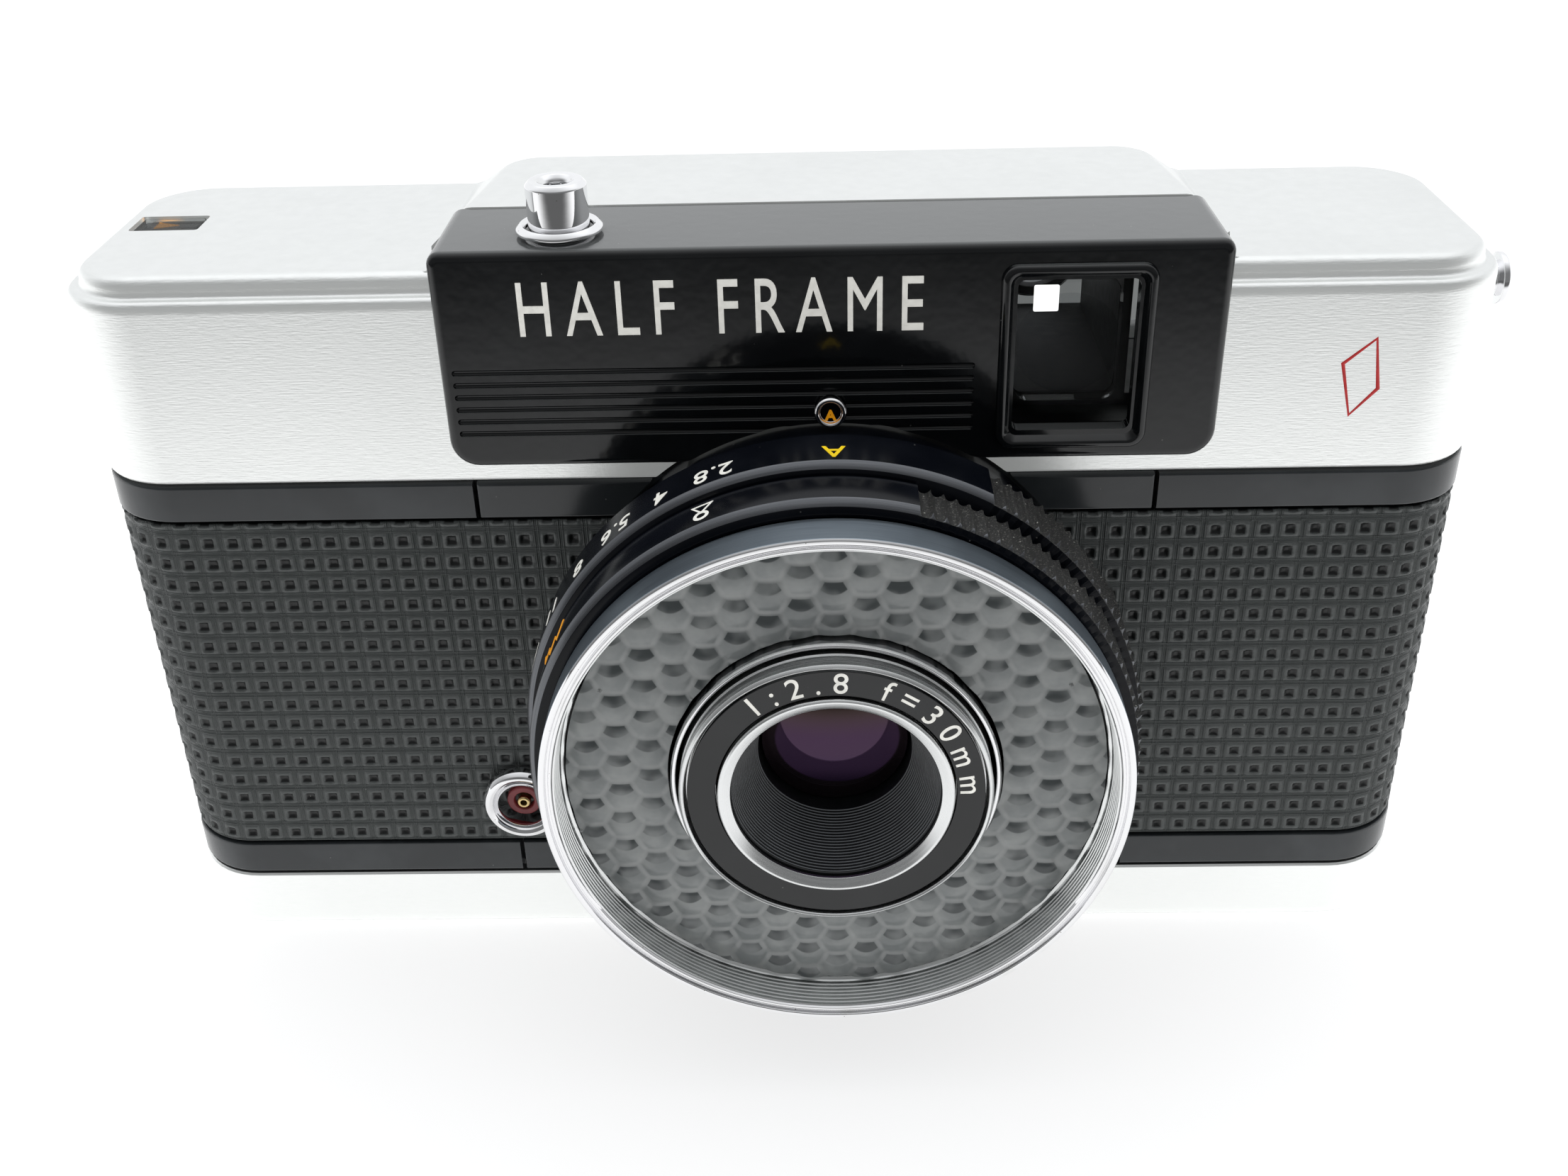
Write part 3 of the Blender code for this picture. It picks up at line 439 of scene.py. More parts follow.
def plain_paint(name, colour, rough, metal=0.0, size=1.5, relief=0.01, glow=0.0):
    """A moulded or painted surface with a soft mottle in colour, gloss and height."""
    finish = Finish(name, rough, metal)
    mottle = finish.noise(size)
    darker = tuple(c * 0.72 for c in colour)
    finish.colour(colour, rise(mottle, 0.35, 0.75), darker)
    finish.glow(colour, glow)
    finish.rough(rough * 0.8 + mottle * rough * 0.4)
    return finish.bump(finish.noise(size / 5), relief).material


def brushed_steel():
    """Steel with fine lines along X."""
    finish = Finish("brushed_steel", 0.3, 1.0)
    lines = finish.noise(0.1, (12, 1, 1))
    finish.colour((0.56, 0.56, 0.58), lines, (0.42, 0.42, 0.43))
    finish.rough(0.22 + lines * 0.22)
    return finish.bump(lines, 0.006).material


def ink(name, colour, glow=0.35):
    """Paint in an engraved or printed mark, slightly self-lit so that thin strokes stay readable."""
    return plain_paint(name, colour, 0.4, 0.0, 0.6, 0.004, glow)


def thin_glass(name, tint, clear):
    """A clear pane: mostly see-through, with a reflection that grows towards the edges and faint smears."""
    finish = Finish(name, 0.02)
    smears = finish.noise(2.4)
    finish.colour((0.01, 0.01, 0.01))
    finish.rough(0.01 + rise(smears, 0.5, 0.8) * 0.05)
    see_through = finish.add("ShaderNodeBsdfTransparent")
    see_through.inputs["Color"].default_value = (*[c * 0.2 + 0.78 for c in tint], 1.0)
    facing = finish.add("ShaderNodeLayerWeight")
    facing.inputs["Blend"].default_value = 0.25
    amount = Field(finish.tree, facing.outputs["Fresnel"]) * 0.8 + (1.0 - clear)
    mix = finish.add("ShaderNodeMixShader")
    finish.link(amount, mix.inputs[0])
    finish.link(see_through.outputs[0], mix.inputs[1])
    finish.link(finish.shader.outputs[0], mix.inputs[2])
    output = next(n for n in finish.tree.nodes if n.type == "OUTPUT_MATERIAL")
    finish.link(mix.outputs[0], output.inputs["Surface"])
    return finish.material


def lenslet_plastic():
    """The light cell's window: each lenslet has painted shade in its upper part and a painted highlight at
    its edges, standing in for light through the lenslets.
    """
    finish = Finish("lenslet_plastic", 0.14, 0.0, Specular_IOR_Level=0.5)
    x, _, z = finish.xyz()
    cell_x, cell_z = hexagon_cell(x, z - LENS_Z + 0.3)
    edge = hexagon_edge(cell_x, cell_z)
    top = cell_z - (0.15 + cell_x * cell_x * 0.35)
    painted_upper_shade = rise(top, 0.0, 0.16) * (1.0 - rise(edge, 1.12, 1.2))
    haze = finish.noise(3.0)
    shade = finish.noise(0.9)
    chance = rise(finish.noise(2.2, detail=1.0), 0.38, 0.62)
    # Painted light: pale edges are painted highlights, the dark upper patches are painted shade.
    finish.colour(
        (0.245, 0.262, 0.262), rise(haze, 0.35, 0.7), (0.36, 0.375, 0.37),
        rise(edge, 1.05, 1.38) * (0.25 + shade * 0.6), (0.42, 0.43, 0.425),
        painted_upper_shade * (0.2 + chance * 0.8), (0.085, 0.095, 0.097),
    )
    finish.rough(0.1 + haze * 0.12)
    return finish.bump(finish.noise(0.6), 0.01).material


def coated_front():
    """Coated front glass: a painted amber reflection of the light above, purple in the middle, near black
    below, and a painted purple glow low down.
    """
    finish = Finish("coated_front", 0.03, 0.0, Specular_IOR_Level=0.6)
    x, _, z = finish.xyz()
    height = z - LENS_Z
    upper = rise(height, 0.5, 4.6)
    rim = rise(length_of(x - 0.2, (height - 0.4) * 1.2), 4.9, 5.15)
    # The base colour paints the reflections in: amber in the upper part, darker at the rim.
    finish.colour(
        (0.004, 0.002, 0.010), rise(height, -4.0, 1.0), (0.020, 0.012, 0.026), upper, (0.045, 0.030, 0.020),
        rim * 0.6, (0.012, 0.009, 0.006),
    )
    finish.colour(
        (0.25, 0.10, 0.75), rise(height, -4.5, -0.5), (0.72, 0.40, 0.72), upper, (0.95, 0.72, 0.5),
        rim * 0.7, (0.30, 0.22, 0.16), target="Specular Tint",
    )
    # Painted reflection: a faint purple glow in the lower part, where the coating's reflection shows.
    lower = rise(height, -4.6, -2.0) * (1.0 - upper) * (1.0 - rim)
    finish.colour((0.0, 0.0, 0.0), lower, (0.013, 0.007, 0.016), target="Emission Color")
    finish.shader.inputs["Emission Strength"].default_value = 1.0
    return finish.bump(finish.noise(2.0), 0.001).material


def dial_face():
    """The grey of the frame counter's dial."""
    finish = Finish("dial_face", 0.4)
    mottle = finish.noise(1.2)
    finish.colour((0.30, 0.30, 0.29), mottle, (0.42, 0.42, 0.41))
    return finish.bump(finish.noise(0.2), 0.004).material


SILVER = satin_silver()
CHROME = polished_chrome()
# haze sets the strength of the painted grey reflection on its upward faces.
BLACK = glossy_paint("gloss_black_enamel", (0.006, 0.007, 0.008), 0.07, haze=0.5)
CHARCOAL = glossy_paint("charcoal_enamel", (0.030, 0.034, 0.037), 0.16, 0.006, 0.3)
RING_BLACK = glossy_paint("ring_black_anodised", (0.003, 0.004, 0.007), 0.16, 0.002, 0.4, shine=0.2)
BEVEL_GREY = turned_metal("bevel_grey", (0.17, 0.175, 0.185), (0.08, 0.085, 0.095), 0.12)
SATIN_RING = turned_metal("satin_turned_ring", (0.86, 0.87, 0.87), (0.72, 0.73, 0.73), 0.1)
THREAD_METAL = turned_metal("bright_thread", (0.90, 0.91, 0.90), (0.74, 0.76, 0.76), 0.1, 0.22)
# Painted reflection: the filter ring's outer side is chrome, given this dark blue-grey for the dark
# surroundings it mirrors.
RING_SIDE = turned_metal("ring_side", (0.32, 0.37, 0.42), (0.20, 0.24, 0.28), 0.1, 0.32)
CONE_BLACK = plain_paint("ribbed_cone_black", (0.022, 0.024, 0.026), 0.3, 0.0, 1.2, 0.004)
# Painted highlight: a lighter grey that glows, for the lit ledges of the dark cone's ridges.
RIDGE_HIGHLIGHT = plain_paint("cone_ridge_painted_highlight", (0.16, 0.17, 0.18), 0.3, 0.0, 1.2, 0.004, 0.25)
CRINKLE = crinkle_black()
LEATHER = leatherette()
CAST = plain_paint("cast_body_paint", (0.045, 0.047, 0.05), 0.45, 0.3, 2.0, 0.02)
MATTE = plain_paint("matte_black_paint", (0.012, 0.012, 0.012), 0.6, 0.0, 0.8, 0.01)
STEEL = brushed_steel()
BRASS = turned_metal("turned_brass", (0.76, 0.60, 0.30), (0.52, 0.38, 0.16))
RED = plain_paint("red_moulding", (0.26, 0.035, 0.04), 0.3, 0.0, 1.0, 0.004)
WHITE_INK = ink("white_ink", (0.95, 0.94, 0.88))
ORANGE_INK = ink("orange_ink", (0.90, 0.36, 0.01))
YELLOW_INK = ink("yellow_ink", (0.95, 0.66, 0.01))
POINTER_INK = ink("pointer_ink", (0.95, 0.40, 0.01), 1.1)
RED_INK = ink("red_ink", (0.62, 0.03, 0.03), 0.2)
CLEAR = thin_glass("clear_pane", (0.9, 0.93, 0.95), 0.97)
COATED = thin_glass("coated_pane", (0.35, 0.25, 0.5), 0.75)
LENSLETS = lenslet_plastic()
FRONT_GLASS = coated_front()
DIAL = dial_face()
BLUED = plain_paint("blued_steel", (0.05, 0.05, 0.06), 0.3, 0.8, 1.5, 0.003)
SLOT_FINISH = {
    "cast_body": CAST, "charcoal_trim": CHARCOAL, "leatherette": LEATHER, "satin_silver": SILVER,
    "gloss_black": BLACK, "steel_fittings": STEEL, "chrome": CHROME, "clear_plastic": CLEAR,
    "matte_black": MATTE, "red_plastic": RED, "brass": BRASS, "ring_black": RING_BLACK,
    "light_cell": MATTE, "coated_glass": COATED, "blued_steel": BLUED, "dial_grey": DIAL,
}


# ---------------------------------------------------------------- mesh building


def new_object(name, data):
    """A new object in the scene."""
    obj = bpy.data.objects.new(name, data)
    bpy.context.scene.collection.objects.link(obj)
    return obj


def tidy_mesh(mesh, angle=35):
    """Welds the mesh, turns its faces outwards and shades it smooth except at sharp edges."""
    bm = bmesh.new()
    bm.from_mesh(mesh)
    bmesh.ops.remove_doubles(bm, verts=bm.verts, dist=WELD)
    bmesh.ops.recalc_face_normals(bm, faces=bm.faces)
    bm.to_mesh(mesh)
    bm.free()
    mesh.shade_smooth()
    mesh.set_sharp_from_angle(angle=math.radians(angle))
    return mesh


def raw_mesh(points, faces):
    """A mesh from points in millimetres."""
    mesh = bpy.data.meshes.new("shape")
    mesh.from_pydata((np.asarray(points, float).reshape(-1, 3) * MM).tolist(), [], faces)
    return mesh


def grid_faces(index):
    """The four corners of each cell in a grid of point numbers."""
    return np.stack([index[:-1, :-1], index[1:, :-1], index[1:, 1:], index[:-1, 1:]], -1)


def grid_mesh(points, wrap_u=True, wrap_v=False, caps=False, paint=None):
    """A mesh through a grid of points, wrapped round u or v. Paint is one material index per v step."""
    count_u, count_v = points.shape[:2]
    index = np.arange(count_u * count_v).reshape(count_u, count_v)
    ends = [index[:, 0].tolist()[::-1], index[:, -1].tolist()]
    if wrap_u:
        index = np.vstack([index, index[:1]])
    if wrap_v:
        index = np.hstack([index, index[:, :1]])
    faces = grid_faces(index)
    quads = faces.reshape(-1, 4).tolist()
    mesh = raw_mesh(points, quads + ends if caps else quads)
    if paint:
        slots = np.tile(np.array(paint), faces.shape[0])
        mesh.polygons.foreach_set("material_index", slots.astype(np.int32))
    return tidy_mesh(mesh)


def corner_share(leg, radius):
    """The share of a leg that its rounded corner takes up: never more than 0.45."""
    length = np.linalg.norm(leg)
    return min(radius, length * 0.45) / max(length, 1e-9)


def rounded(profile, radius, steps=3, paint=None, closed=True):
    """The profile with each corner rounded, and the material index of each of its new steps."""
    points, marks = [], []
    count = len(profile)
    for i, corner in enumerate(profile):
        corner = np.array(corner, float)
        if not closed and i in (0, count - 1):
            points.append(tuple(corner))
            marks.append((paint or {}).get(i, 0))
            continue
        before = np.array(profile[i - 1], float) - corner
        after = np.array(profile[(i + 1) % count], float) - corner
        share_before, share_after = corner_share(before, radius), corner_share(after, radius)
        for k in range(steps + 1):
            t = k / steps
            bend = before * share_before * (1 - t) ** 2 + after * share_after * t**2
            points.append(tuple(corner + bend))
            marks.append((paint or {}).get(i, 0))
    return points, marks


AXES = {
    "ahead": (Vector((1, 0, 0)), Vector((0, 0, 1)), Vector((0, -1, 0))),
    "up": (Vector((1, 0, 0)), Vector((0, 1, 0)), Vector((0, 0, 1))),
    "back": (Vector((-1, 0, 0)), Vector((0, 0, 1)), Vector((0, 1, 0))),
    "right": (Vector((0, 1, 0)), Vector((0, 0, 1)), Vector((1, 0, 0))),
    "left": (Vector((0, -1, 0)), Vector((0, 0, 1)), Vector((-1, 0, 0))),
}
LENS = ((0, FRONT, LENS_Z), "ahead")
SOCKET_AXIS = ((SOCKET[0], FRONT, SOCKET[2]), "ahead")
STUD_AXIS = ((STUD[0], FRONT, STUD[2]), "ahead")
EYE_AXIS = ((EYEPIECE[0], 0, EYEPIECE[2]), "back")
LUG_AXIS = ((0, LUG[1], LUG[2]), "right")
SCREW_AXIS = ((0, LUG[1], LUG[2]), "left")
BUTTON_AXIS = upright_axis("release_button")
WHEEL_AXIS = upright_axis("advance_wheel")
HINGE_AXIS = ((HINGE_X, HINGE_Y, 0), "up")


def place_on(axis, radius, angle, height):
    """Points at a radius, an angle in radians and a height, about an axis (origin, direction)."""
    origin, direction = axis
    side, up, out = [np.array(v) for v in AXES[direction]]
    radius, angle, height = np.broadcast_arrays(radius, angle, height)
    return (
        np.array(origin)
        + (radius * np.sin(angle))[..., None] * side
        + (radius * np.cos(angle))[..., None] * up
        + height[..., None] * out
    )


def turned(axis, profile, corner=0.12, segments=128, paint=None, closed=True, steps=3):
    """A profile of (radius, height) points, or a function of the angle, turned about an axis."""
    angles = np.arange(segments) * 2 * math.pi / segments
    if callable(profile):
        columns = [rounded(profile(a), corner, steps, paint, closed) for a in angles]
        marks = columns[0][1]
        grid = np.array([column[0] for column in columns])
    else:
        points, marks = rounded(profile, corner, steps, paint, closed)
        grid = np.array([points] * segments)
    if not closed:
        marks = marks[:-1]
    points = place_on(axis, grid[..., 0], angles[:, None], grid[..., 1])
    return grid_mesh(points, True, closed, paint=marks)


def cylinder(axis, radius, low, high, segments=64):
    """A plain cylinder between two heights along an axis."""
    profile = [(0, low), (radius, low), (radius, high), (0, high)]
    return turned(axis, profile, 0.0, segments, closed=False, steps=1)


def rounded_rectangle(low, high, radii, steps=8):
    """A rectangle with four rounded corners, from the lower left one, counter-clockwise."""
    points = []
    for i, radius in enumerate(radii):
        centre_x = low[0] + radius if i in (0, 3) else high[0] - radius
        centre_y = low[1] + radius if i in (0, 1) else high[1] - radius
        for k in range(steps + 1):
            angle = math.radians(180 + 90 * i + 90 * k / steps)
            points.append((centre_x + radius * math.cos(angle), centre_y + radius * math.sin(angle)))
    return np.array(points)


def stack(sections, direction="up", closed=False):
    """A solid through outlines of equal length, each as (points, height), upright or facing the viewer."""
    rows = []
    for outline, height in sections:
        level = np.full(len(outline), float(height))
        if direction == "up":
            rows.append(np.column_stack([outline[:, 0], outline[:, 1], level]))
        else:
            rows.append(np.column_stack([outline[:, 0], level, outline[:, 1]]))
    return grid_mesh(np.stack(rows, axis=1), True, closed, caps=not closed)


def slab(low, high, corner=0.0, rim=0.0, direction="up", steps=6):
    """A block with rounded corners seen along a direction, and rounded rims on both faces across it."""
    across = (0, 1) if direction == "up" else (0, 2)
    depth = 2 if direction == "up" else 1
    sections = []
    levels = [(rim, 0.0), (rim * 0.3, rim * 0.3), (0.0, rim)] if rim else [(0.0, 0.0)]
    for inset, rise_by in levels:
        sections.append((inset, low[depth] + rise_by))
    for inset, rise_by in reversed(levels):
        sections.append((inset, high[depth] - rise_by))
    made = []
    for inset, height in sections:
        outline = rounded_rectangle(
            (low[across[0]] + inset, low[across[1]] + inset),
            (high[across[0]] - inset, high[across[1]] - inset),
            [max(corner - inset, 0.01)] * 4, steps,
        )
        made.append((outline, height))
    return stack(made, direction)


def body_plan(inset, steps=12):
    """The body's outline in plan, drawn in by an inset."""
    radii = [max(CORNER_RADIUS - inset, 0.4)] * 4
    return rounded_rectangle((LEFT + inset, FRONT + inset), (RIGHT - inset, BACK - inset), radii, steps)


def body_stack(stations):
    """A solid with the body's outline, drawn in by each station's inset at its height."""
    return stack([(body_plan(inset), z) for inset, z in stations])


def soft_edge(inset, low, high, soft=0.25):
    """Stations for an upright wall whose lower and upper edges are softened."""
    return [
        (inset + soft, low), (inset + soft * 0.3, low + soft * 0.3), (inset, low + soft),
        (inset, high - soft), (inset + soft * 0.3, high - soft * 0.3), (inset + soft, high),
    ]


def combine(mesh, operation, *tools):
    """The mesh after an exact boolean with each tool in turn."""
    for tool in tools:
        target = new_object("target", mesh)
        helper = new_object("tool", tool)
        modifier = target.modifiers.new("combine", "BOOLEAN")
        modifier.operation = operation
        modifier.object = helper
        modifier.solver = "EXACT"
        bpy.context.view_layer.update()
        evaluated = target.evaluated_get(bpy.context.evaluated_depsgraph_get())
        mesh = bpy.data.meshes.new_from_object(evaluated)
        bpy.data.objects.remove(target)
        bpy.data.objects.remove(helper)
    return tidy_mesh(mesh)


def cut(mesh, *tools):
    """The mesh without the tools' space."""
    return combine(mesh, "DIFFERENCE", *tools)


def join(mesh, *tools):
    """The mesh and the tools as one solid."""
    return combine(mesh, "UNION", *tools)


def add_piece(name, mesh, node, *finishes, even=True):
    """Shows a mesh as a new piece on the body of a CAD node, with the given finishes."""
    obj = new_object(name, mesh)
    marks = np.zeros(len(mesh.polygons), np.int32)
    mesh.polygons.foreach_get("material_index", marks)
    mesh.materials.clear()
    for finish in finishes:
        mesh.materials.append(finish)
    mesh.polygons.foreach_set("material_index", np.minimum(marks, len(finishes) - 1))
    if even:
        shading = obj.modifiers.new("even_shading", "WEIGHTED_NORMAL")
        shading.keep_sharp = True
    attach(obj, NODE_BODY[node])
    return obj


def stand_in(node, mesh, *finishes, even=True):
    """Shows a mesh in place of a CAD node."""
    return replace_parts(add_piece(node + "_detailed", mesh, node, *finishes, even=even), node)


def evaluated_mesh(curve):
    """The mesh that a curve shows."""
    obj = new_object("lettering", curve)
    bpy.context.view_layer.update()
    mesh = bpy.data.meshes.new_from_object(obj.evaluated_get(bpy.context.evaluated_depsgraph_get()))
    bpy.data.objects.remove(obj)
    return mesh


def bend_mesh(mesh, mapping):
    """Moves a flat mesh's points from (x, y, z) in millimetres to where the mapping puts them."""
    flat = np.zeros(len(mesh.vertices) * 3, np.float32)
    mesh.vertices.foreach_get("co", flat)
    moved = mapping(*flat.reshape(-1, 3).astype(float).T)
    mesh.vertices.foreach_set("co", (moved * MM).astype(np.float32).ravel())
    return tidy_mesh(mesh, 50)


def letters(text, height, mapping, narrow=1.0, spacing=1.0, offset=0.0, thick=0.03):
    """Words in the built-in font, height millimetres tall, bent onto a surface."""
    curve = bpy.data.curves.new("words", "FONT")
    curve.body = text
    curve.size = height / CAPITAL
    curve.align_x = "CENTER"
    curve.space_character = spacing
    curve.extrude = thick
    curve.offset = offset
    curve.resolution_u = 6
    return bend_mesh(evaluated_mesh(curve), lambda x, y, z: mapping(x * narrow, y, z))


def strokes(lines, width, mapping, closed=False):
    """Drawn lines of round section, bent onto a surface."""
    curve = bpy.data.curves.new("strokes", "CURVE")
    curve.dimensions = "3D"
    curve.bevel_depth = width / 2
    curve.bevel_resolution = 2
    curve.use_fill_caps = True
    for line in lines:
        spline = curve.splines.new("POLY")
        spline.points.add(len(line) - 1)
        for point, (x, y) in zip(spline.points, line):
            point.co = (x, y, 0.0, 1.0)
        spline.use_cyclic_u = closed
    return bend_mesh(evaluated_mesh(curve), lambda x, y, z: mapping(x, y, z * 0.35))


def on_ring_side(angle, radius, height):
    """Puts lettering round a ring's side, to be read from behind the camera."""
    def mapping(x, y, z):
        return place_on(LENS, radius + z, math.radians(angle) - x / radius, height + y)
    return mapping


def on_ring_face(angle, radius, height):
    """Puts lettering round a ring's face, to be read by the viewer."""
    def mapping(x, y, z):
        return place_on(LENS, radius + y, math.radians(angle) + x / radius, height + z)
    return mapping


def on_front(x_0, z_0, y_0):
    """Puts lettering on an upright face that looks at the viewer."""
    def mapping(x, y, z):
        return np.column_stack([x_0 + x, y_0 - z, z_0 + y])
    return mapping


# ---------------------------------------------------------------- the body


def make_chassis():
    """The casting with its two bands, the film chambers, the dark box and the film gate."""
    core = body_stack([(1.0, BAND_BOTTOM + 0.45), (1.0, COVER_BOTTOM - 0.75)])
    lower = body_stack(soft_edge(0.0, BAND_BOTTOM, LOWER_BAND_TOP))
    upper = body_stack(soft_edge(0.0, UPPER_BAND_BOTTOM, COVER_BOTTOM - GAP))
    deck = body_stack([(2.4, UPPER_BAND_BOTTOM + 2), (2.4, DECK_TOP)])
    mesh = join(core, lower, upper, deck)
    mesh = cut(mesh, slab((LEFT - 5, DOOR_FRONT - GAP, -1), (RIGHT + 5, 30, 60)))
    mesh = join(mesh, slab((-28, 7.5, 13.4), (24, 9.3, 49.9), 0.3))
    beside = FASCIA_RIGHT + GAP
    tools = [
        slab((-beside, -20, FASCIA_BOTTOM - GAP), (beside, FASCIA_BACK + GAP, 60)),
        slab((PANEL_LEFT - GAP, FRONT - 1, -1), (PANEL_RIGHT + GAP, FRONT + 1.6, COVER_BOTTOM - 0.15)),
        slab((-10.8, -9.0, LENS_Z - 13.5), (10.8, 7.4, LENS_Z + 13.5), 1.0),
        slab((-9.0, 6.0, LENS_Z - 12.0), (9.0, 12.0, LENS_Z + 12.0), 0.8, direction="ahead"),
        cylinder(LENS, 9.0, -6.0, 2.0),
        cylinder(SOCKET_AXIS, SOCKET_HOLE_RADIUS, -8.0, 2.0, 48),
        slab((HINGE_X - HINGE_ROOM, HINGE_Y - HINGE_ROOM, -1), (RIGHT + 2, 12, DOOR_TOP + 1)),
    ]
    for x in (WHEEL[0] + 3.0, 36.5):
        tools.append(cylinder(((x, 0, 0), "up"), CHAMBER_RADIUS, CHAMBER_LOW, CHAMBER_HIGH, 96))
        mouth = (x - CHAMBER_RADIUS, 0.5, CHAMBER_LOW), (x + CHAMBER_RADIUS, BACK, CHAMBER_HIGH)
        tools.append(slab(*mouth))
    shaft = upright_axis("film_sprocket")
    tools.append(cylinder(shaft, 6.65, CHAMBER_LOW, CHAMBER_HIGH))
    tools.append(cylinder(shaft, 1.6, CHAMBER_HIGH - 1, DOOR_TOP + 1, 32))
    mesh = cut(mesh, *tools)
    web = slab((HINGE_X - 3.0, HINGE_Y - 0.9, 20.4), (HINGE_X - 0.3, HINGE_Y + 0.4, 35.6))
    mesh = join(mesh, web, cylinder(HINGE_AXIS, KNUCKLE_RADIUS, 20.0, 36.0, 32))
    mesh = cut(mesh, cylinder(HINGE_AXIS, PIN_HOLE_RADIUS, 19.0, 37.0, 24))
    for face in mesh.polygons:
        x, y, z = face.center / MM
        in_band = z < LOWER_BAND_TOP + 0.01 or z > UPPER_BAND_BOTTOM - 0.01
        near_end = min(abs(x - LEFT), abs(x - RIGHT)) < CORNER_RADIUS
        outside = min(x - LEFT, RIGHT - x, y - FRONT) < 1.0 or near_end
        face.material_index = 0 if in_band and outside and z < DOOR_TOP - 2 else 1
    stand_in("chassis", mesh, CHARCOAL, CAST)


def make_front_panel():
    """The centre plate, with its own length of both bands and a bevel along each."""
    low_z, high_z = BAND_BOTTOM, COVER_BOTTOM - GAP
    mesh = slab((PANEL_LEFT, FRONT + 0.9, low_z), (PANEL_RIGHT, FRONT + 1.3, high_z))
    for low, high in ((low_z, LOWER_BAND_TOP), (UPPER_BAND_BOTTOM, high_z)):
        rail = slab((PANEL_LEFT, FRONT, low), (PANEL_RIGHT, FRONT + 1.1, high), 0.15, 0.3, "ahead")
        mesh = join(mesh, rail)
    socket = cylinder(SOCKET_AXIS, SOCKET_HOLE_RADIUS, -3.0, 3.0)
    clearance = cylinder(LENS, ARCH_RADIUS, -0.8, 3.0, 128)
    mesh = cut(mesh, clearance, cylinder(LENS, 17.0, -3.0, 3.0), socket)
    stand_in("front_panel", mesh, CHARCOAL)


def emboss(u, v):
    """Height of the leatherette's relief: a raised square with a pit in each cell."""
    away = larger(abs(u % CELL_PITCH - CELL_PITCH / 2), abs(v % CELL_PITCH - CELL_PITCH / 2))
    return 0.17 * (1 - rise(away, 0.6, 0.8)) - 0.36 * (1 - rise(away, 0.3, 0.48))


def wrapped_path(points, step):
    """Even stations along a path: place, outward direction, and distance from where it crosses x = 0."""
    legs = np.linalg.norm(np.diff(points, axis=0), axis=1)
    along = np.concatenate([[0], np.cumsum(legs)])
    middle = np.interp(0, points[:, 0], along) if points[0, 0] < points[-1, 0] else along[-1] / 2
    stations = np.linspace(0, along[-1], int(along[-1] / step) + 1)
    x = np.interp(stations, along, points[:, 0])
    y = np.interp(stations, along, points[:, 1])
    heading = np.column_stack([np.gradient(x, stations), np.gradient(y, stations)])
    heading /= np.linalg.norm(heading, axis=1)[:, None]
    return x, y, heading[:, 1], -heading[:, 0], stations - middle


def covering(node, points, step=0.21, hole=0.0):
    """An embossed sheet along a path in plan, between the bands, with a round hole for the lens."""
    x, y, out_x, out_y, u = wrapped_path(points, step)
    z = np.linspace(SKIN_LOW, SKIN_HIGH, int((SKIN_HIGH - SKIN_LOW) / step) + 1)
    v = z - SKIN_LOW
    grid = np.zeros((len(u), len(z), 3))
    grid[..., 0], grid[..., 1], grid[..., 2] = x[:, None], y[:, None], z[None, :]
    out = np.zeros_like(grid)
    out[..., 0], out[..., 1] = out_x[:, None], out_y[:, None]
    off_x, off_z = grid[..., 0], grid[..., 2] - LENS_Z
    away = np.hypot(off_x, off_z)
    near = (np.abs(away - hole) < step * 0.75) & (grid[..., 1] < 0) & (hole > 0)
    grid[near, 0] *= (hole / away)[near]
    grid[near, 2] = LENS_Z + off_z[near] * (hole / away)[near]
    height = emboss(u[:, None], v[None, :])
    outer = grid + out * (height[..., None] - 0.1)
    inner = grid - out * 0.4
    index = np.arange(len(u) * len(z)).reshape(len(u), len(z))
    quads = grid_faces(index).reshape(-1, 4)
    centres_away = away.ravel()[quads].mean(axis=1)
    in_front = grid[..., 1].ravel()[quads].mean(axis=1) < 0
    quads = quads[(centres_away > hole) | ~in_front]
    edges = np.concatenate([quads[:, [i, (i + 1) % 4]] for i in range(4)])
    _, first, count = np.unique(np.sort(edges, axis=1), axis=0, return_index=True, return_counts=True)
    rim = edges[first[count == 1]]
    total = index.size
    walls = np.column_stack([rim[:, 1], rim[:, 0], rim[:, 0] + total, rim[:, 1] + total])
    faces = np.concatenate([quads, quads[:, ::-1] + total, walls])
    used, faces = np.unique(faces, return_inverse=True)
    faces = faces.reshape(-1, 4)
    points = np.concatenate([outer.reshape(-1, 3), inner.reshape(-1, 3)])[used]
    flat = np.stack(np.broadcast_arrays(u[:, None], v[None, :]), -1).reshape(-1, 2)
    flat = np.concatenate([flat, flat])[used]
    mesh = raw_mesh(points, faces.tolist())
    layer = mesh.uv_layers.new(name="UVMap")
    layer.data.foreach_set("uv", flat[faces.ravel()].astype(np.float32).ravel())
    mesh.shade_smooth()
    stand_in(node, mesh, LEATHER, even=False)


def make_coverings():
    """The front sheet in two halves beside the lens, and the sheet on the hinged back."""
    outline = body_plan(0.15, 24)
    count = len(outline) // 4
    left_corner, right_corner = outline[:count], outline[count:2 * count]
    back_right, back_left = outline[2 * count:3 * count], outline[3 * count:]
    start = np.array([[LEFT + 0.15, DOOR_FRONT - GAP]])
    middle = np.array([[0.0, FRONT + 0.15]])
    end = np.array([[RIGHT - 0.15, HINGE_Y - 2.2]])
    covering("front_leatherette_left", np.concatenate([start, left_corner, middle]), hole=ARCH_RADIUS)
    covering("front_leatherette_right", np.concatenate([middle, right_corner, end]), hole=ARCH_RADIUS)
    door_start = np.array([[RIGHT - 0.15, DOOR_FRONT + 0.1]])
    door_end = np.array([[LEFT + 0.15, DOOR_FRONT + 0.1]])
    covering("door_leatherette", np.concatenate([door_start, back_right, back_left, door_end]))


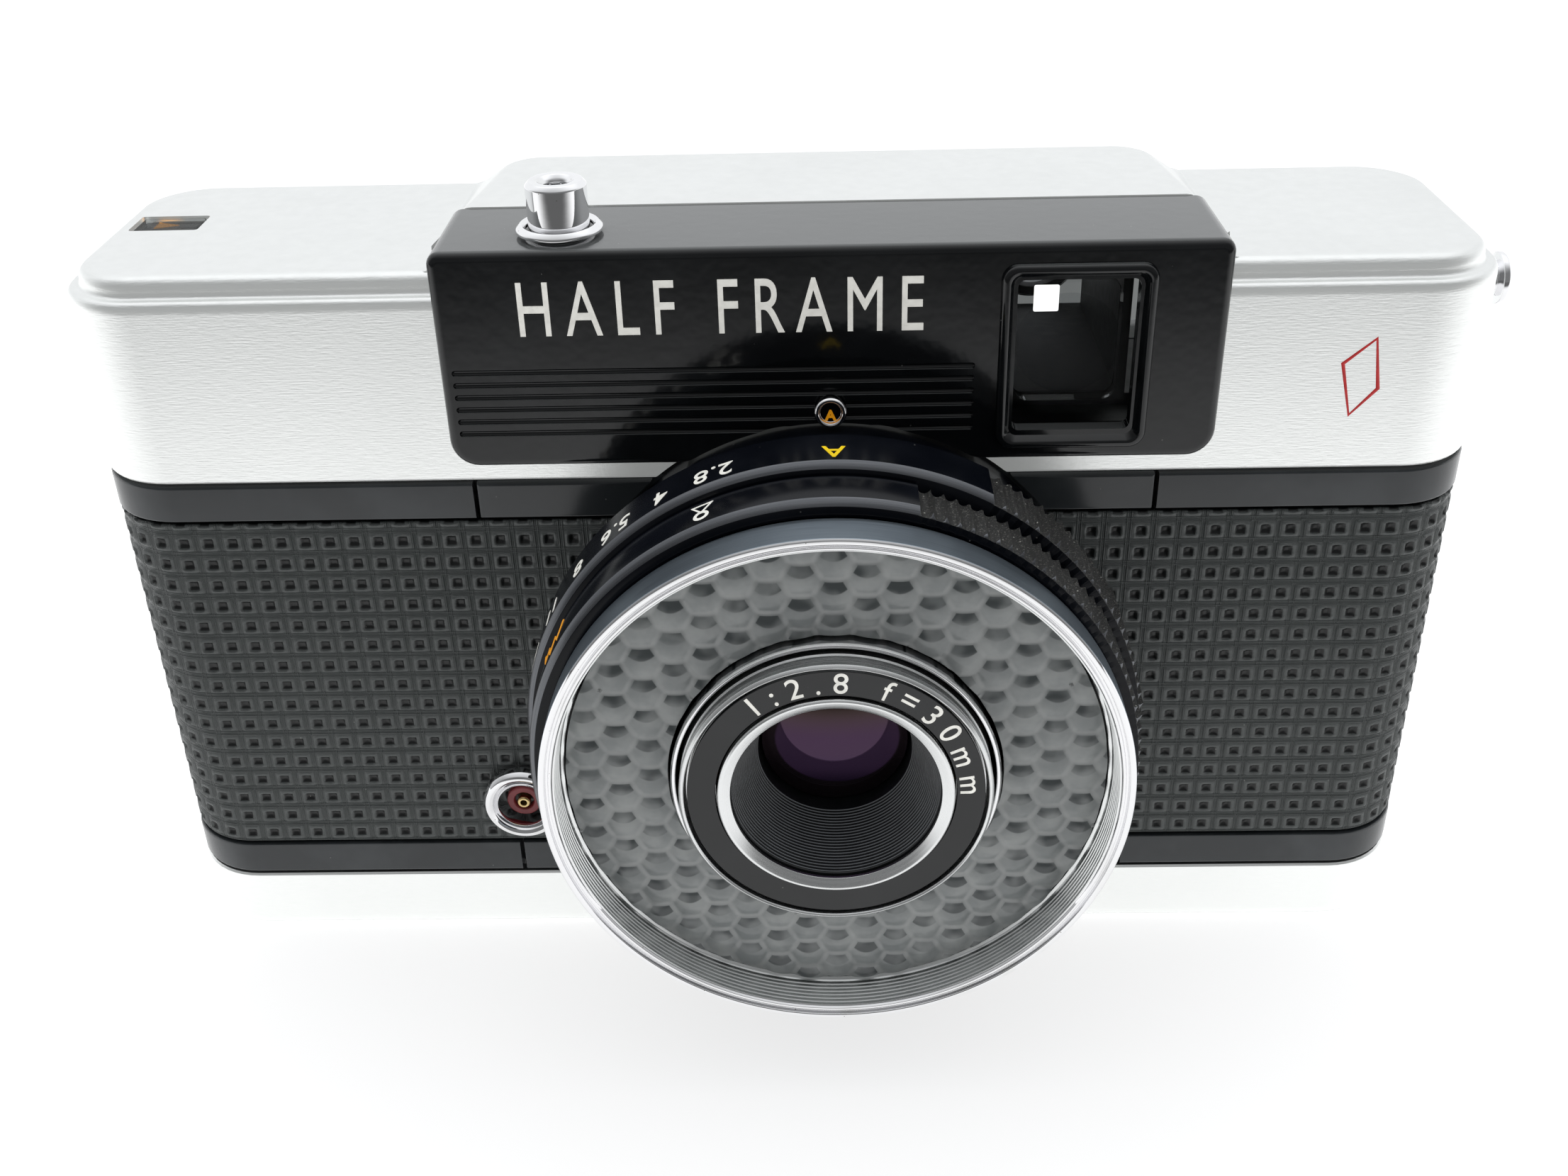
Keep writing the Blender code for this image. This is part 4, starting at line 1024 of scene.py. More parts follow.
def make_bottom_cover():
    """The lower shell, with its rolled bottom edge, the tripod bush and a screw."""
    walls = [
        (4.0, 0.0), (1.3, 0.0), (0.7, 0.12), (0.25, 0.45), (0.05, 0.9), (0.0, 1.4), (0.0, BASE_TOP - 0.2),
        (0.15, BASE_TOP), (COVER_WALL, BASE_TOP), (COVER_WALL, 2.0), (COVER_WALL + 0.8, COVER_WALL),
        (4.0, COVER_WALL),
    ]
    mesh = body_stack(walls)
    bush = ((middle_of("tripod_bush")[0], 0, 0), "up")
    screw = ((middle_of("bottom_cover_screw")[0], 0, 0), "up")
    mesh = cut(mesh, cylinder(bush, 5.3, -1, 3), cylinder(screw, 1.8, -1, 3))
    stand_in("bottom_cover", mesh, SILVER)
    thread = [(5.0, 6.2), (5.0, 3.0), (7.0, 3.0), (7.0, 1.5), (5.0, 1.5), (5.0, 0.0), (3.5, 0.0)]
    for i in range(5):
        thread += [(3.1, 0.55 + i * 1.1), (3.5, 1.1 + i * 1.1)]
    thread.append((3.2, 6.2))
    stand_in("tripod_bush", turned(bush, thread, 0.08, 96), STEEL)
    make_screw("bottom_cover_screw", screw, 0.15, -1)
    make_screw("top_cover_screw", SCREW_AXIS, -node_box("top_cover_screw")[0][0], 1)


def make_screw(node, axis, face, side):
    """A slotted screw whose head looks along side times the axis."""
    def along(depth):
        return face - side * depth
    profile = [
        (0, along(0)), (1.2, along(0)), (1.55, along(0.3)), (1.55, along(0.8)),
        (0.8, along(0.8)), (0.8, along(4.4)), (0, along(4.4)),
    ]
    mesh = turned(axis, profile, 0.1, 64, closed=False)
    slot = slab((-3, -0.2, -0.3), (3, 0.2, 0.3))
    origin, direction = axis
    side_vector, up, out = AXES[direction]
    for vertex in slot.vertices:
        x, y, z = vertex.co / MM
        vertex.co = (Vector(origin) + side_vector * x + up * y + out * (face + z)) * MM
    stand_in(node, cut(mesh, tidy_mesh(slot)), STEEL)


def cover_profile():
    """Stations of the top cover's outside: an upright wall, a ledge, a hollow step and the rounded tier."""
    return [
        (0.15, COVER_BOTTOM), (0.0, COVER_BOTTOM + 0.2), (0.0, 63.9),
        (0.04, 64.3), (0.15, 64.62), (0.35, 64.82), (0.6, LEDGE_Z), (0.85, LEDGE_Z + 0.02),
        (1.02, 65.0), (1.12, 65.12), (1.18, 65.3), (1.2, 65.5), (1.22, 65.7), (1.32, 66.0),
        (1.5, 66.25), (1.75, 66.44), (2.1, 66.55), (2.6, TIER_TOP), (6.5, TIER_TOP),
    ]


def hump_outline(share, grow=0.0):
    """The raised middle's outline in plan, from its foot at share 0 to its top at share 1."""
    back_half = 31.6 - 3.6 * share + grow
    front_half = FASCIA_RIGHT + 0.5 - 0.5 * share + grow
    back = 12.5 - 1.6 * share + grow
    outline = rounded_rectangle((-back_half, -12.0), (back_half, back), [0.3, 0.3, 2.2, 2.2], 6)
    depth = (outline[:, 1] + 12.0) / (back + 12.0)
    outline[:, 0] *= (front_half + (back_half - front_half) * depth) / back_half
    return outline


def make_top_cover():
    """The pressed upper shell: a stepped box with a raised middle, hollow inside."""
    shell = body_stack(cover_profile())
    sections = [(hump_outline(0.0, 0.6), TIER_TOP - 0.6)]
    for share, grow, z in (
        (0.0, 0.6, TIER_TOP - 0.05), (0.0, 0.3, TIER_TOP + 0.05), (0.05, 0.1, TIER_TOP + 0.25),
        (0.15, 0.0, TIER_TOP + 0.5), (0.8, 0.0, HUMP_TOP - 0.5), (0.92, -0.05, HUMP_TOP - 0.22),
        (1.0, -0.2, HUMP_TOP - 0.06), (1.0, -0.6, HUMP_TOP),
    ):
        sections.append((hump_outline(share, grow), z))
    mesh = join(shell, stack(sections))
    beside = FASCIA_RIGHT + 0.1
    counter_low, counter_high = node_box("counter_window")
    mesh = cut(
        mesh,
        body_stack([(COVER_WALL, 40), (COVER_WALL, LEDGE_Z - 2.2), (COVER_WALL + 1.4, LEDGE_Z - 1.0),
                    (COVER_WALL + 1.6, TIER_TOP - 1.2)]),
        slab((-27, -12, 60), (27, 9.6, HUMP_TOP - 1.3), 1.0),
        slab((-beside, -20, FASCIA_BOTTOM - 0.1), (beside, FASCIA_BACK + 0.1, 80), 2.4, direction="ahead"),
        slab((LEFT - 5, DOOR_FRONT - GAP, 40), (RIGHT + 5, 20, DOOR_TOP + GAP)),
        slab((HINGE_X - HINGE_ROOM, HINGE_Y - HINGE_ROOM, 40), (RIGHT + 5, 20, DOOR_TOP + GAP)),
        cylinder(WHEEL_AXIS, reach("advance_wheel") + 0.5, 53.1, 56.3, 128),
        cylinder(EYE_AXIS, 4.6, 5.0, 20.0),
        slab(
            (counter_low[0] - GAP, counter_low[1] - GAP, 62),
            (counter_high[0] + GAP, counter_high[1] + GAP, 70), 0.3,
        ),
        cylinder(upright_axis("counter_dial"), reach("counter_dial") + GAP, 62, TIER_TOP - 0.45, 96),
        cylinder(LENS, ARCH_RADIUS, -1.7, 4.0, 192),
        cylinder(LUG_AXIS, 1.5, 45.0, 60.0, 48),
        cylinder(SCREW_AXIS, 1.9, 55.0, 70.0, 48),
    )
    stand_in("top_cover", mesh, SILVER)


# ---------------------------------------------------------------- the black fascia and what it carries


def arch_cutter():
    """The space under the fascia: the lens arch, with a small fillet where it meets the lower edge."""
    fillet = 4.5
    foot = FASCIA_BOTTOM
    centre_z = foot + fillet
    centre_x = math.sqrt((ARCH_RADIUS + fillet) ** 2 - (centre_z - LENS_Z) ** 2)
    meet = math.atan2(centre_x, centre_z - LENS_Z)
    half = []
    for i in range(33):
        angle = meet * i / 32
        half.append((ARCH_RADIUS * math.sin(angle), LENS_Z + ARCH_RADIUS * math.cos(angle)))
    for i in range(1, 9):
        angle = math.pi + meet * (1 - i / 8)
        half.append((centre_x + fillet * math.sin(angle), centre_z + fillet * math.cos(angle)))
    half.append((centre_x + 0.01, foot - 3))
    outline = np.array(half[::-1] + [(-x, z) for x, z in half[1:]])
    return stack([(outline, FRONT - 6), (outline, FRONT + 6)], "ahead")


def make_fascia():
    """The black moulding with its grooves, and the raised rim round the finder window."""
    def front_outline(inset):
        return rounded_rectangle(
            (FASCIA_LEFT + inset, FASCIA_BOTTOM + inset), (FASCIA_RIGHT - inset, FASCIA_TOP - inset),
            [2.3 - inset, 2.3 - inset, 1.1 - inset, 1.1 - inset], 8,
        )
    soft = 0.75
    sections = []
    for i in range(6):
        angle = math.radians(90 * i / 5)
        inset, depth = soft * (1 - math.sin(angle)), soft * (1 - math.cos(angle))
        sections.append((front_outline(inset), FASCIA_FRONT + depth))
    sections.append((front_outline(0.0), FASCIA_BACK))
    mesh = stack(sections, "ahead")
    inside = (FASCIA_RIGHT - FASCIA_WALL, FASCIA_FRONT + FASCIA_WALL)
    mesh = cut(mesh, slab((-inside[0], inside[1], 40), (inside[0], 5, FASCIA_TOP - FASCIA_WALL)))
    left, bottom, right, top = WINDOW

    def rim_outline(inset, corner):
        low = (left - 1.3 + inset, bottom - 1.5 + inset)
        high = (right + 1.3 - inset, top + 1.3 - inset)
        return rounded_rectangle(low, high, [corner] * 4, 8)
    rim = [
        (rim_outline(0.0, 1.3), FASCIA_FRONT + 0.5), (rim_outline(0.0, 1.3), FASCIA_FRONT - 0.2),
        (rim_outline(0.08, 1.25), FASCIA_FRONT - 0.42), (rim_outline(0.25, 1.1), FASCIA_FRONT - 0.56),
        (rim_outline(0.45, 1.0), FASCIA_FRONT - 0.6), (rim_outline(0.6, 0.9), FASCIA_FRONT - 0.58),
        (rim_outline(0.72, 0.85), FASCIA_FRONT - 0.48), (rim_outline(1.2, 0.6), FASCIA_FRONT + 0.2),
        (rim_outline(1.3, 0.5), FASCIA_FRONT + 0.4), (rim_outline(1.3, 0.5), FASCIA_FRONT + 0.5),
    ]
    mesh = cut(mesh, slab((left, -30, bottom), (right, -10, top), 0.6, direction="ahead"))
    mesh = join(mesh, stack(rim, "ahead", closed=True))
    tools = [arch_cutter()] + [groove(-30.2, 11.5, 53.9 + i * 1.06) for i in range(6)]
    tools.append(cylinder(BUTTON_AXIS, 2.73, 60, 75))
    tools.append(cylinder(STUD_AXIS, 0.9, -1.0, 3.0, 32))
    mesh = cut(mesh, *tools)
    stand_in("fascia", mesh, BLACK)


def groove(start, end, z, radius=0.26):
    """A round-bottomed groove's cutter, with round ends."""
    steps = 6
    profile = []
    for i in range(steps + 1):
        angle = math.pi / 2 * i / steps
        profile.append((radius * math.sin(angle), start + radius - radius * math.cos(angle)))
    for i in range(steps + 1):
        angle = math.pi / 2 * i / steps
        profile.append((radius * math.cos(angle), end - radius + radius * math.sin(angle)))
    profile[0] = (0.0, start)
    profile[-1] = (0.0, end)
    return turned(((0, FASCIA_FRONT, z), "right"), profile, 0.0, 16, closed=False, steps=1)


def make_fascia_words():
    """Tall thin raised letters that say only what kind of camera this is."""
    mapping = on_front(-8.6, 62.3, FASCIA_FRONT)
    words = letters(
        "HALF FRAME", 4.7, mapping, narrow=0.66, spacing=1.42, offset=0.004, thick=0.1)
    add_piece("fascia_words", words, "fascia", WHITE_INK)


def make_index_stud():
    """The chrome stud above the lens, hollow at its tip, with a painted reflection in it: a black face and a
    small letter, for the dark ring and its letter that the tip mirrors.
    """
    profile = [
        (0, 2.35), (0.85, 2.35), (0.95, 2.6), (1.15, 2.7), (1.3, 2.5), (1.3, 1.8),
        (0.6, 1.8), (0.6, -0.4), (0, -0.4),
    ]
    # paint {0: 1} makes the tip's face BLACK, a painted reflection of the dark ring below.
    mesh = turned(STUD_AXIS, profile, 0.06, 64, paint={0: 1}, closed=False)
    stand_in("index_stud", mesh, CHROME, BLACK)
    # The orange A is a painted reflection of the ring's letter.
    mark = letters("A", 0.9, on_front(STUD[0], STUD[2] - 0.7, FRONT - 2.36), offset=0.05, thick=0.02)
    add_piece("index_stud_reflected_letter", mark, "index_stud", ORANGE_INK)


def make_finder():
    """The pane, the lens behind it and the bright eyepiece seen through them, whose image is painted in as a
    glowing plate.
    """
    low, high = node_box("viewfinder_window")
    stand_in("viewfinder_window", slab(low, high, 0.4, 0.1, "ahead"), CLEAR)
    low, high = node_box("viewfinder_objective")
    centre = ((low[0] + high[0]) / 2, (low[2] + high[2]) / 2)
    plate = slab((low[0], low[1] + 0.3, low[2]), high, 1.2, 0.1, "ahead")
    axis = ((centre[0], low[1] + 0.2, centre[1]), "ahead")
    bowl = turned(axis, lens_bowl(4.3, 0.4), 0.0, 96, closed=False, steps=1)
    stand_in("viewfinder_objective", join(plate, bowl), CLEAR)
    # Painted light: a glowing plate behind the lens stands in for the eyepiece's bright image.
    glow = slab((16.2, -12.75, 62.6), (18.2, -12.65, 64.8), 0.15, 0.03, "ahead")
    add_piece("finder_painted_eyepiece_glow", glow, "viewfinder_tube", BRIGHT)
    frame_profile = [
        (5.6, 14.2), (5.6, 14.7), (5.2, 15.0), (4.4, 15.0), (3.5, 14.5), (3.5, 12.2),
        (4.3, 12.2), (4.3, 14.2),
    ]
    stand_in("eyepiece_frame", turned(EYE_AXIS, frame_profile, 0.1, 96), MATTE)
    lens = [(0, 14.2), (1.6, 14.1), (3.2, 13.8), (3.2, 12.6), (0, 12.6)]
    stand_in("eyepiece_lens", turned(EYE_AXIS, lens, 0.05, 64, closed=False), CLEAR)


def lens_bowl(radius, depth):
    """A shallow dome's profile from its centre out to its edge, with a flat back."""
    dome = [(radius * i / 12, depth * (1 - (i / 12) ** 2)) for i in range(13)]
    return dome + [(0, 0)]


def make_button():
    """The chrome release button, threaded inside for a cable, and the collar round it."""
    profile = [(0, 69.9), (1.25, 69.9)]
    for i in range(6):
        profile += [(1.25, 70.1 + i * 0.5), (1.05, 70.35 + i * 0.5)]
    profile += [(1.2, 73.1), (1.5, BUTTON_TOP), (2.1, BUTTON_TOP), (2.43, 73.05)]
    profile += [(2.43, 66.6), (2.2, 66.6), (2.2, 68.6)]
    profile += [(1.3, 68.6), (1.2, 68.5), (1.2, 58.4), (0.8, 58.0), (0, 58.0)]
    stand_in("release_button", turned(BUTTON_AXIS, profile, 0.08, 96, closed=False), CHROME)
    low, high = node_box("button_collar")
    collar = [
        (3.45, low[2]), (3.45, low[2] + 0.25), (3.1, high[2]), (2.95, high[2]),
        (2.73, low[2] + 0.3), (2.73, low[2]),
    ]
    stand_in("button_collar", turned(BUTTON_AXIS, collar, 0.06, 96), CHROME)


def make_lug():
    """The strap lug: a flanged stud whose waist takes a ring."""
    profile = [
        (0, 56.6), (1.8, 56.6), (2.2, 56.35), (2.2, 55.9), (1.5, 55.6), (1.5, 55.1),
        (2.2, 54.8), (2.2, 54.5), (1.2, 54.5), (1.2, 51.9), (0, 51.9),
    ]
    stand_in("strap_lug", turned(LUG_AXIS, profile, 0.12, 96, closed=False), CHROME)


def make_counter():
    """The frame counter: a dial with an orange pointer and white numerals under a clear pane."""
    low, high = node_box("counter_window")
    low[2] = high[2] - 0.4
    stand_in("counter_window", slab(low, high, 0.25, 0.08), CLEAR)
    under_pane = low[2] - 0.2
    low, high = node_box("counter_dial")
    high[2] = under_pane
    axis = upright_axis("counter_dial")
    radius = reach("counter_dial")
    profile = [(0, high[2]), (radius, high[2]), (radius, 63.9), (1.5, 63.9), (1.5, low[2]), (0, low[2])]
    stand_in("counter_dial", turned(axis, profile, 0.08, 128, closed=False), DIAL)
    centre = axis[0]

    def on_dial(x_0, y_0, turn):
        def mapping(x, y, z):
            cos, sin = math.cos(turn), math.sin(turn)
            return np.column_stack([x_0 + x * cos - y * sin, y_0 + x * sin + y * cos, high[2] + z])
        return mapping
    pointer = [(-1.0, -0.8), (1.0, 0.0), (-1.0, 0.8)]
    mesh = raw_mesh(
        [(x + centre[0] - 7.3, y + centre[1] + 1.5, high[2] + z)
         for z in (-0.05, 0.06) for x, y in pointer],
        [(0, 1, 2), (5, 4, 3), (0, 3, 4, 1), (1, 4, 5, 2), (2, 5, 3, 0)],
    )
    add_piece("counter_pointer", tidy_mesh(mesh), "counter_dial", POINTER_INK)
    for i, numeral in enumerate(("0", "8", "16", "24", "32")):
        angle = math.radians(180 - 40 - 62 * i)
        x = centre[0] + 7.4 * math.cos(angle)
        y = centre[1] + 7.4 * math.sin(angle)
        mesh = letters(numeral, 1.5, on_dial(x, y, angle + math.pi / 2), thick=0.04)
        add_piece(f"counter_numeral_{numeral}", mesh, "counter_dial", WHITE_INK)


def make_cover_mark():
    """A plain outlined lozenge in red on the cover's right front, where a maker would put a mark."""
    outline = [(-0.4, -3.3), (1.6, -1.0), (0.9, 3.3), (-1.5, 1.2)]
    lozenge = strokes([outline], 0.35, on_front(42.5, 57.0, FRONT), closed=True)
    add_piece("cover_mark", lozenge, "top_cover", RED_INK)


# ---------------------------------------------------------------- the lens


def scallop(angle, start, end, pitch_angle, depth):
    """How far a knurled ring is cut in at an angle: rounded flutes between sharp ridges."""
    degrees = math.degrees(angle)
    if not start <= degrees <= end:
        return 0.0
    phase = ((degrees - start) / pitch_angle) % 1.0
    return depth * math.sqrt(max(0.0, 1.0 - (2 * phase - 1) ** 2))


def knurled_ring(node, low, high, inner_points, start, end):
    """A black ring with a grey bevel, and rough flutes between two angles that run out on the bevel."""
    radius = reach(node)
    flutes = round(math.radians(end - start) * radius / FLUTE_PITCH)
    pitch_angle = (end - start) / flutes
    front_radius = radius - RING_STEP
    slope = (radius - front_radius) / RING_BEVEL

    def profile(angle):
        sunk = scallop(angle, start, end, pitch_angle, FLUTE_DEPTH)
        edge = min(high - RING_BEVEL + sunk / slope, high - 0.05)
        front = [(radius - sunk, low + 0.2), (radius - sunk, edge), (front_radius, high)]
        return front + inner_points + [(radius - 0.75, low)]
    mesh = turned(LENS, profile, 0.03, 1152, paint={1: 1}, steps=1)
    count = len(mesh.polygons)
    centres = np.zeros(count * 3, np.float32)
    mesh.polygons.foreach_get("center", centres)
    x, y, z = (centres.reshape(-1, 3) / MM).T
    degrees = np.degrees(np.arctan2(x, z - LENS_Z))
    away = np.hypot(x, z - LENS_Z)
    marks = np.zeros(count, np.int32)
    mesh.polygons.foreach_get("material_index", marks)
    marks[(degrees > start) & (degrees < end) & (away > radius - 0.6) & (marks == 0)] = 2
    mesh.polygons.foreach_set("material_index", marks)
    stand_in(node, mesh, RING_BLACK, BEVEL_GREY, CRINKLE)


def make_housing():
    """The fixed mount: a flange against the body, and the sleeve that the rings turn on."""
    profile = [
        (20.4, 17.9), (20.4, 8.3), (21.6, 8.3), (22.0, 7.9), (22.0, -0.5), (14.0, -0.5),
        (14.0, 1.2), (18.8, 1.2), (18.8, 17.9),
    ]
    stand_in("lens_housing", turned(LENS, profile, 0.15, 160), RING_BLACK)


def make_rings():
    """The aperture ring, the focus ring and the fixed front ring, with their scales."""
    inner = 20.8
    low, high = 9.0, 14.15
    sleeve = [(inner, high), (inner, low)]
    knurled_ring("aperture_ring", low, high, sleeve, 29.0, 152.0)
    marks = low + 2.15
    numerals = {"2.8": -21, "4": -31.5, "5.6": -42, "8": -52.5, "11": -63, "16": -73.5, "22": -84}
    for numeral, angle in numerals.items():
        side = on_ring_side(angle, reach("aperture_ring"), marks)
        mesh = letters(numeral, 2.0, side, narrow=0.95, spacing=1.05, offset=0.015)
        add_piece("aperture_numeral_" + numeral.replace(".", "_"), mesh, "aperture_ring", WHITE_INK)
    side = on_ring_side(0.3, reach("aperture_ring"), marks + 0.15)
    add_piece("aperture_letter", letters("A", 1.9, side, offset=0.02), "aperture_ring", YELLOW_INK)
    low, high = 14.4, 18.6
    recess = ahead("filter_ring")[0] - GAP
    sleeve = [(22.9, high), (22.9, recess), (inner, recess), (inner, low)]
    knurled_ring("focus_ring", low, high, sleeve, 15.0, 152.0)
    make_focus_marks(low)
    make_front_ring()


def circle_points(x, y, radius, count=16):
    """Points round a flat circle."""
    steps = [2 * math.pi * i / count for i in range(count)]
    return [(x + radius * math.cos(a), y + radius * math.sin(a)) for a in steps]


def make_focus_marks(low):
    """Pictures for the focus zones: a head and shoulders, and far hills."""
    radius = reach("focus_ring") + 0.02
    person = [circle_points(0, 1.6, 0.5), [(-0.8, 0.0), (0.8, 0.0), (0, 1.15)]]
    mesh = strokes(person, 0.3, on_ring_side(-23.5, radius, low + 0.8), closed=True)
    add_piece("focus_mark_near", mesh, "focus_ring", WHITE_INK)
    hills = [[(-1.9, 0.0), (-1.2, 1.8), (-0.6, 0.6), (0.0, 2.2), (0.6, 0.6), (1.2, 1.8), (1.9, 0.0)]]
    mesh = strokes(hills, 0.36, on_ring_side(-64.0, radius, low + 0.6))
    add_piece("focus_mark_far", mesh, "focus_ring", ORANGE_INK)


def make_front_ring():
    """The chrome ring that takes a filter: a grooved rim, and a thread down to the light cell's window."""
    low, high = ahead("filter_ring")
    radius = reach("filter_ring")
    profile = [
        (22.2, high - 0.2), (22.25, high - 0.45), (22.45, high - 0.45), (22.5, high - 0.05), (22.6, high),
        (radius - 0.15, high), (radius, high - 0.15), (radius, low + 0.75), (22.5, low + 0.7), (22.5, low),
        (21.35, low), (21.35, 18.8), (21.6, 18.9),
    ]
    # Segment 6, the outer side, gets the painted reflection of RING_SIDE; 11, 12 and the thread get
    # THREAD_METAL.
    paint = {6: 2, 11: 1, 12: 1}
    for i in range(7):
        paint.update({len(profile): 1, len(profile) + 1: 1, len(profile) + 2: 1})
        across, along = 21.7 + i * 0.02, 19.05 + i * 0.38
        profile += [(across, along), (across + 0.01, along + 0.26), (across - 0.07, along + 0.31)]
    profile += [(21.9, 21.7), (22.0, high - 0.2)]
    mesh = turned(LENS, profile, 0.04, 224, paint=paint)
    stand_in("filter_ring", mesh, CHROME, THREAD_METAL, RING_SIDE)


def make_light_cell():
    """The lenslet window, modelled as domes in hexagons, and the chrome ring inside it."""
    low, high = ahead("cell_window")
    inner, outer = 13.2, reach("cell_window") + 0.6
    radii = np.linspace(inner, outer, 52)
    angles = np.arange(720) * 2 * math.pi / 720
    x = radii[None, :] * np.sin(angles)[:, None]
    z = radii[None, :] * np.cos(angles)[:, None] + 0.3
    cell_x, cell_z = hexagon_cell(x, z)
    edge = hexagon_edge(cell_x, cell_z)
    dome = 0.42 * (1 - (np.hypot(cell_x, cell_z) / 1.62) ** 2) + 0.08 * rise(edge, 1.25, 1.4)
    front = place_on(LENS, radii[None, :], angles[:, None], high - 0.9 + dome)
    rear = place_on(LENS, np.array([[outer, inner]]), angles[:, None], np.full((720, 2), low))
    stand_in("cell_window", grid_mesh(np.concatenate([front, rear], axis=1), True, True), LENSLETS)
    ring = [(12.95, 16.9), (12.95, 19.75), (12.8, 20.0), (12.6, 20.0), (12.5, 19.85), (12.5, 16.9)]
    stand_in("cell_ring", turned(LENS, ring, 0.05, 160), CHROME)


def make_focus_barrel():
    """The front cell that slides: barrel, name ring, bezel, ridged cone with painted highlights on its
    ridges, and front glass.
    """
    low, high = ahead("focus_barrel")
    radius = reach("focus_barrel")
    barrel = [
        (radius - 0.25, high), (radius, high - 0.25), (radius, 21.0), (radius - 0.12, 20.9),
        (radius - 0.12, 20.2), (radius, 20.1), (radius, low), (11.0, low), (11.0, 19.6),
        (9.3, 19.6), (9.3, 20.7), (11.7, 20.7), (11.8, high - 0.15),
    ]
    mesh = turned(LENS, barrel, 0.06, 192)
    for turn in (-18.0, 102.0, 222.0):
        mesh = cut(mesh, radial_pin(math.radians(turn), radius - 0.4, radius + 1, 19.0, 0.4))
    stand_in("focus_barrel", mesh, SATIN_RING)
    low, high = ahead("name_ring")
    ring = [(11.55, low), (11.55, high), (9.35, high), (9.35, low)]
    stand_in("name_ring", turned(LENS, ring, 0.06, 160), BLACK)
    for name, text, angle in (("ratio", "1:2.8", -17.0), ("length", "f=30mm", 55.0)):
        face = on_ring_face(angle, 9.6, high)
        mesh = letters(text, 1.85, face, narrow=0.9, spacing=1.7, offset=0.01)
        add_piece("name_ring_" + name, mesh, "name_ring", WHITE_INK)
    bezel = [(9.2, 21.2), (9.2, 21.75), (9.05, 21.9), (8.9, 21.88), (8.2, 21.5), (8.2, 21.2)]
    stand_in("bezel_ring", turned(LENS, bezel, 0.05, 160), SATIN_RING)
    cone = [(9.0, 20.9), (9.0, 12.3), (6.2, 12.3), (6.2, 15.2)]
    # Each ridge's ledge gets the painted highlight.
    highlighted_ridges = {}
    for i in range(22):
        radius, height = 6.2 + 1.95 * i / 22, 15.2 + 5.7 * i / 22
        highlighted_ridges[len(cone)] = 1
        cone += [(radius + out, height + up) for out, up in ((0.01, 0.08), (0.03, 0.17), (0.09, 0.19))]
    cone.append((8.2, 20.9))
    mesh = turned(LENS, cone, 0.0, 160, paint=highlighted_ridges, steps=1)
    stand_in("baffle_cone", mesh, CONE_BLACK, RIDGE_HIGHLIGHT)
    glass = [(5.9 * i / 10, 15.0 - (i / 10) ** 2) for i in range(11)] + [(5.9, 12.7), (0, 12.4)]
    stand_in("front_element", turned(LENS, glass, 0.0, 128, closed=False, steps=1), FRONT_GLASS)


def radial_pin(angle, inner, outer, height, radius):
    """A short cylinder that points away from the lens axis."""
    turn = np.arange(24) * 2 * math.pi / 24
    ends = [place_on(LENS, r, angle + radius * np.cos(turn) / r, height + radius * np.sin(turn))
            for r in (inner, outer)]
    return grid_mesh(np.stack(ends, axis=1), True, False, caps=True)


def make_sync_socket():
    """The flash socket: a chrome outer ring, a dark gap, a red insulator and a hollow brass pin."""
    shell = [
        (3.74, 0.15), (3.74, 1.0), (3.45, 1.4), (3.1, 1.5), (2.8, 1.3), (2.65, 0.9), (2.5, 0.7),
        (2.45, 1.1), (2.35, 1.25), (2.3, 1.0), (2.3, -6.0), (2.9, -6.0), (2.9, 0.15),
    ]
    stand_in("sync_socket_shell", turned(SOCKET_AXIS, shell, 0.06, 96), CHROME)
    ring = [
        (2.0, -6.0), (2.0, -0.6), (1.65, -0.6), (1.6, 0.4), (1.5, 0.5), (1.0, 0.5),
        (0.9, 0.35), (0.9, -6.0),
    ]
    stand_in("sync_socket_insulator", turned(SOCKET_AXIS, ring, 0.06, 64), RED)
    pin = [(0, -6.5), (0.6, -6.5), (0.6, 0.7), (0.5, 0.8), (0.32, 0.8), (0.28, 0.6), (0.28, -0.6), (0, -0.7)]
    stand_in("sync_socket_pin", turned(SOCKET_AXIS, pin, 0.04, 48, closed=False), BRASS)


# ---------------------------------------------------------------- the back, the wheel and the latch


def make_back_door():
    """The hinged back: a shallow tray with two bands and three knuckles' worth of hinge."""
    mesh = body_stack([(0.9, 8.0), (0.9, DOOR_TOP - 0.7)])
    lower = body_stack(soft_edge(0.0, BAND_BOTTOM + 0.15, LOWER_BAND_TOP))
    upper = body_stack(soft_edge(0.0, UPPER_BAND_BOTTOM, DOOR_TOP))
    mesh = join(mesh, lower, upper)
    inside = body_stack([(1.9, 8.6), (1.9, 50.2)])
    mesh = cut(mesh, inside, slab((LEFT - 5, -30, -1), (RIGHT + 5, DOOR_FRONT, 60)))
    for low, high in ((8.0, 19.6), (36.4, DOOR_TOP - 0.2)):
        web = slab((HINGE_X - 0.5, HINGE_Y + 0.3, low + 0.4), (HINGE_X + 0.05, 9.4, high - 0.4))
        mesh = join(mesh, web, cylinder(HINGE_AXIS, KNUCKLE_RADIUS, low, high, 32))
    mesh = cut(mesh, cylinder(HINGE_AXIS, PIN_HOLE_RADIUS, 6.0, 50.0, 24))
    stand_in("back_door", mesh, CHARCOAL)
    low, high = node_box("pressure_plate")
    plate = slab(low, high, 2.0, 0.15, "ahead")
    dimples = [cylinder(((x, low[1], z), "back"), 1.1, -0.5, 0.25, 32)
               for x in (low[0] + 4, high[0] - 4) for z in (low[2] + 5, high[2] - 5)]
    stand_in("pressure_plate", cut(plate, *dimples), STEEL)


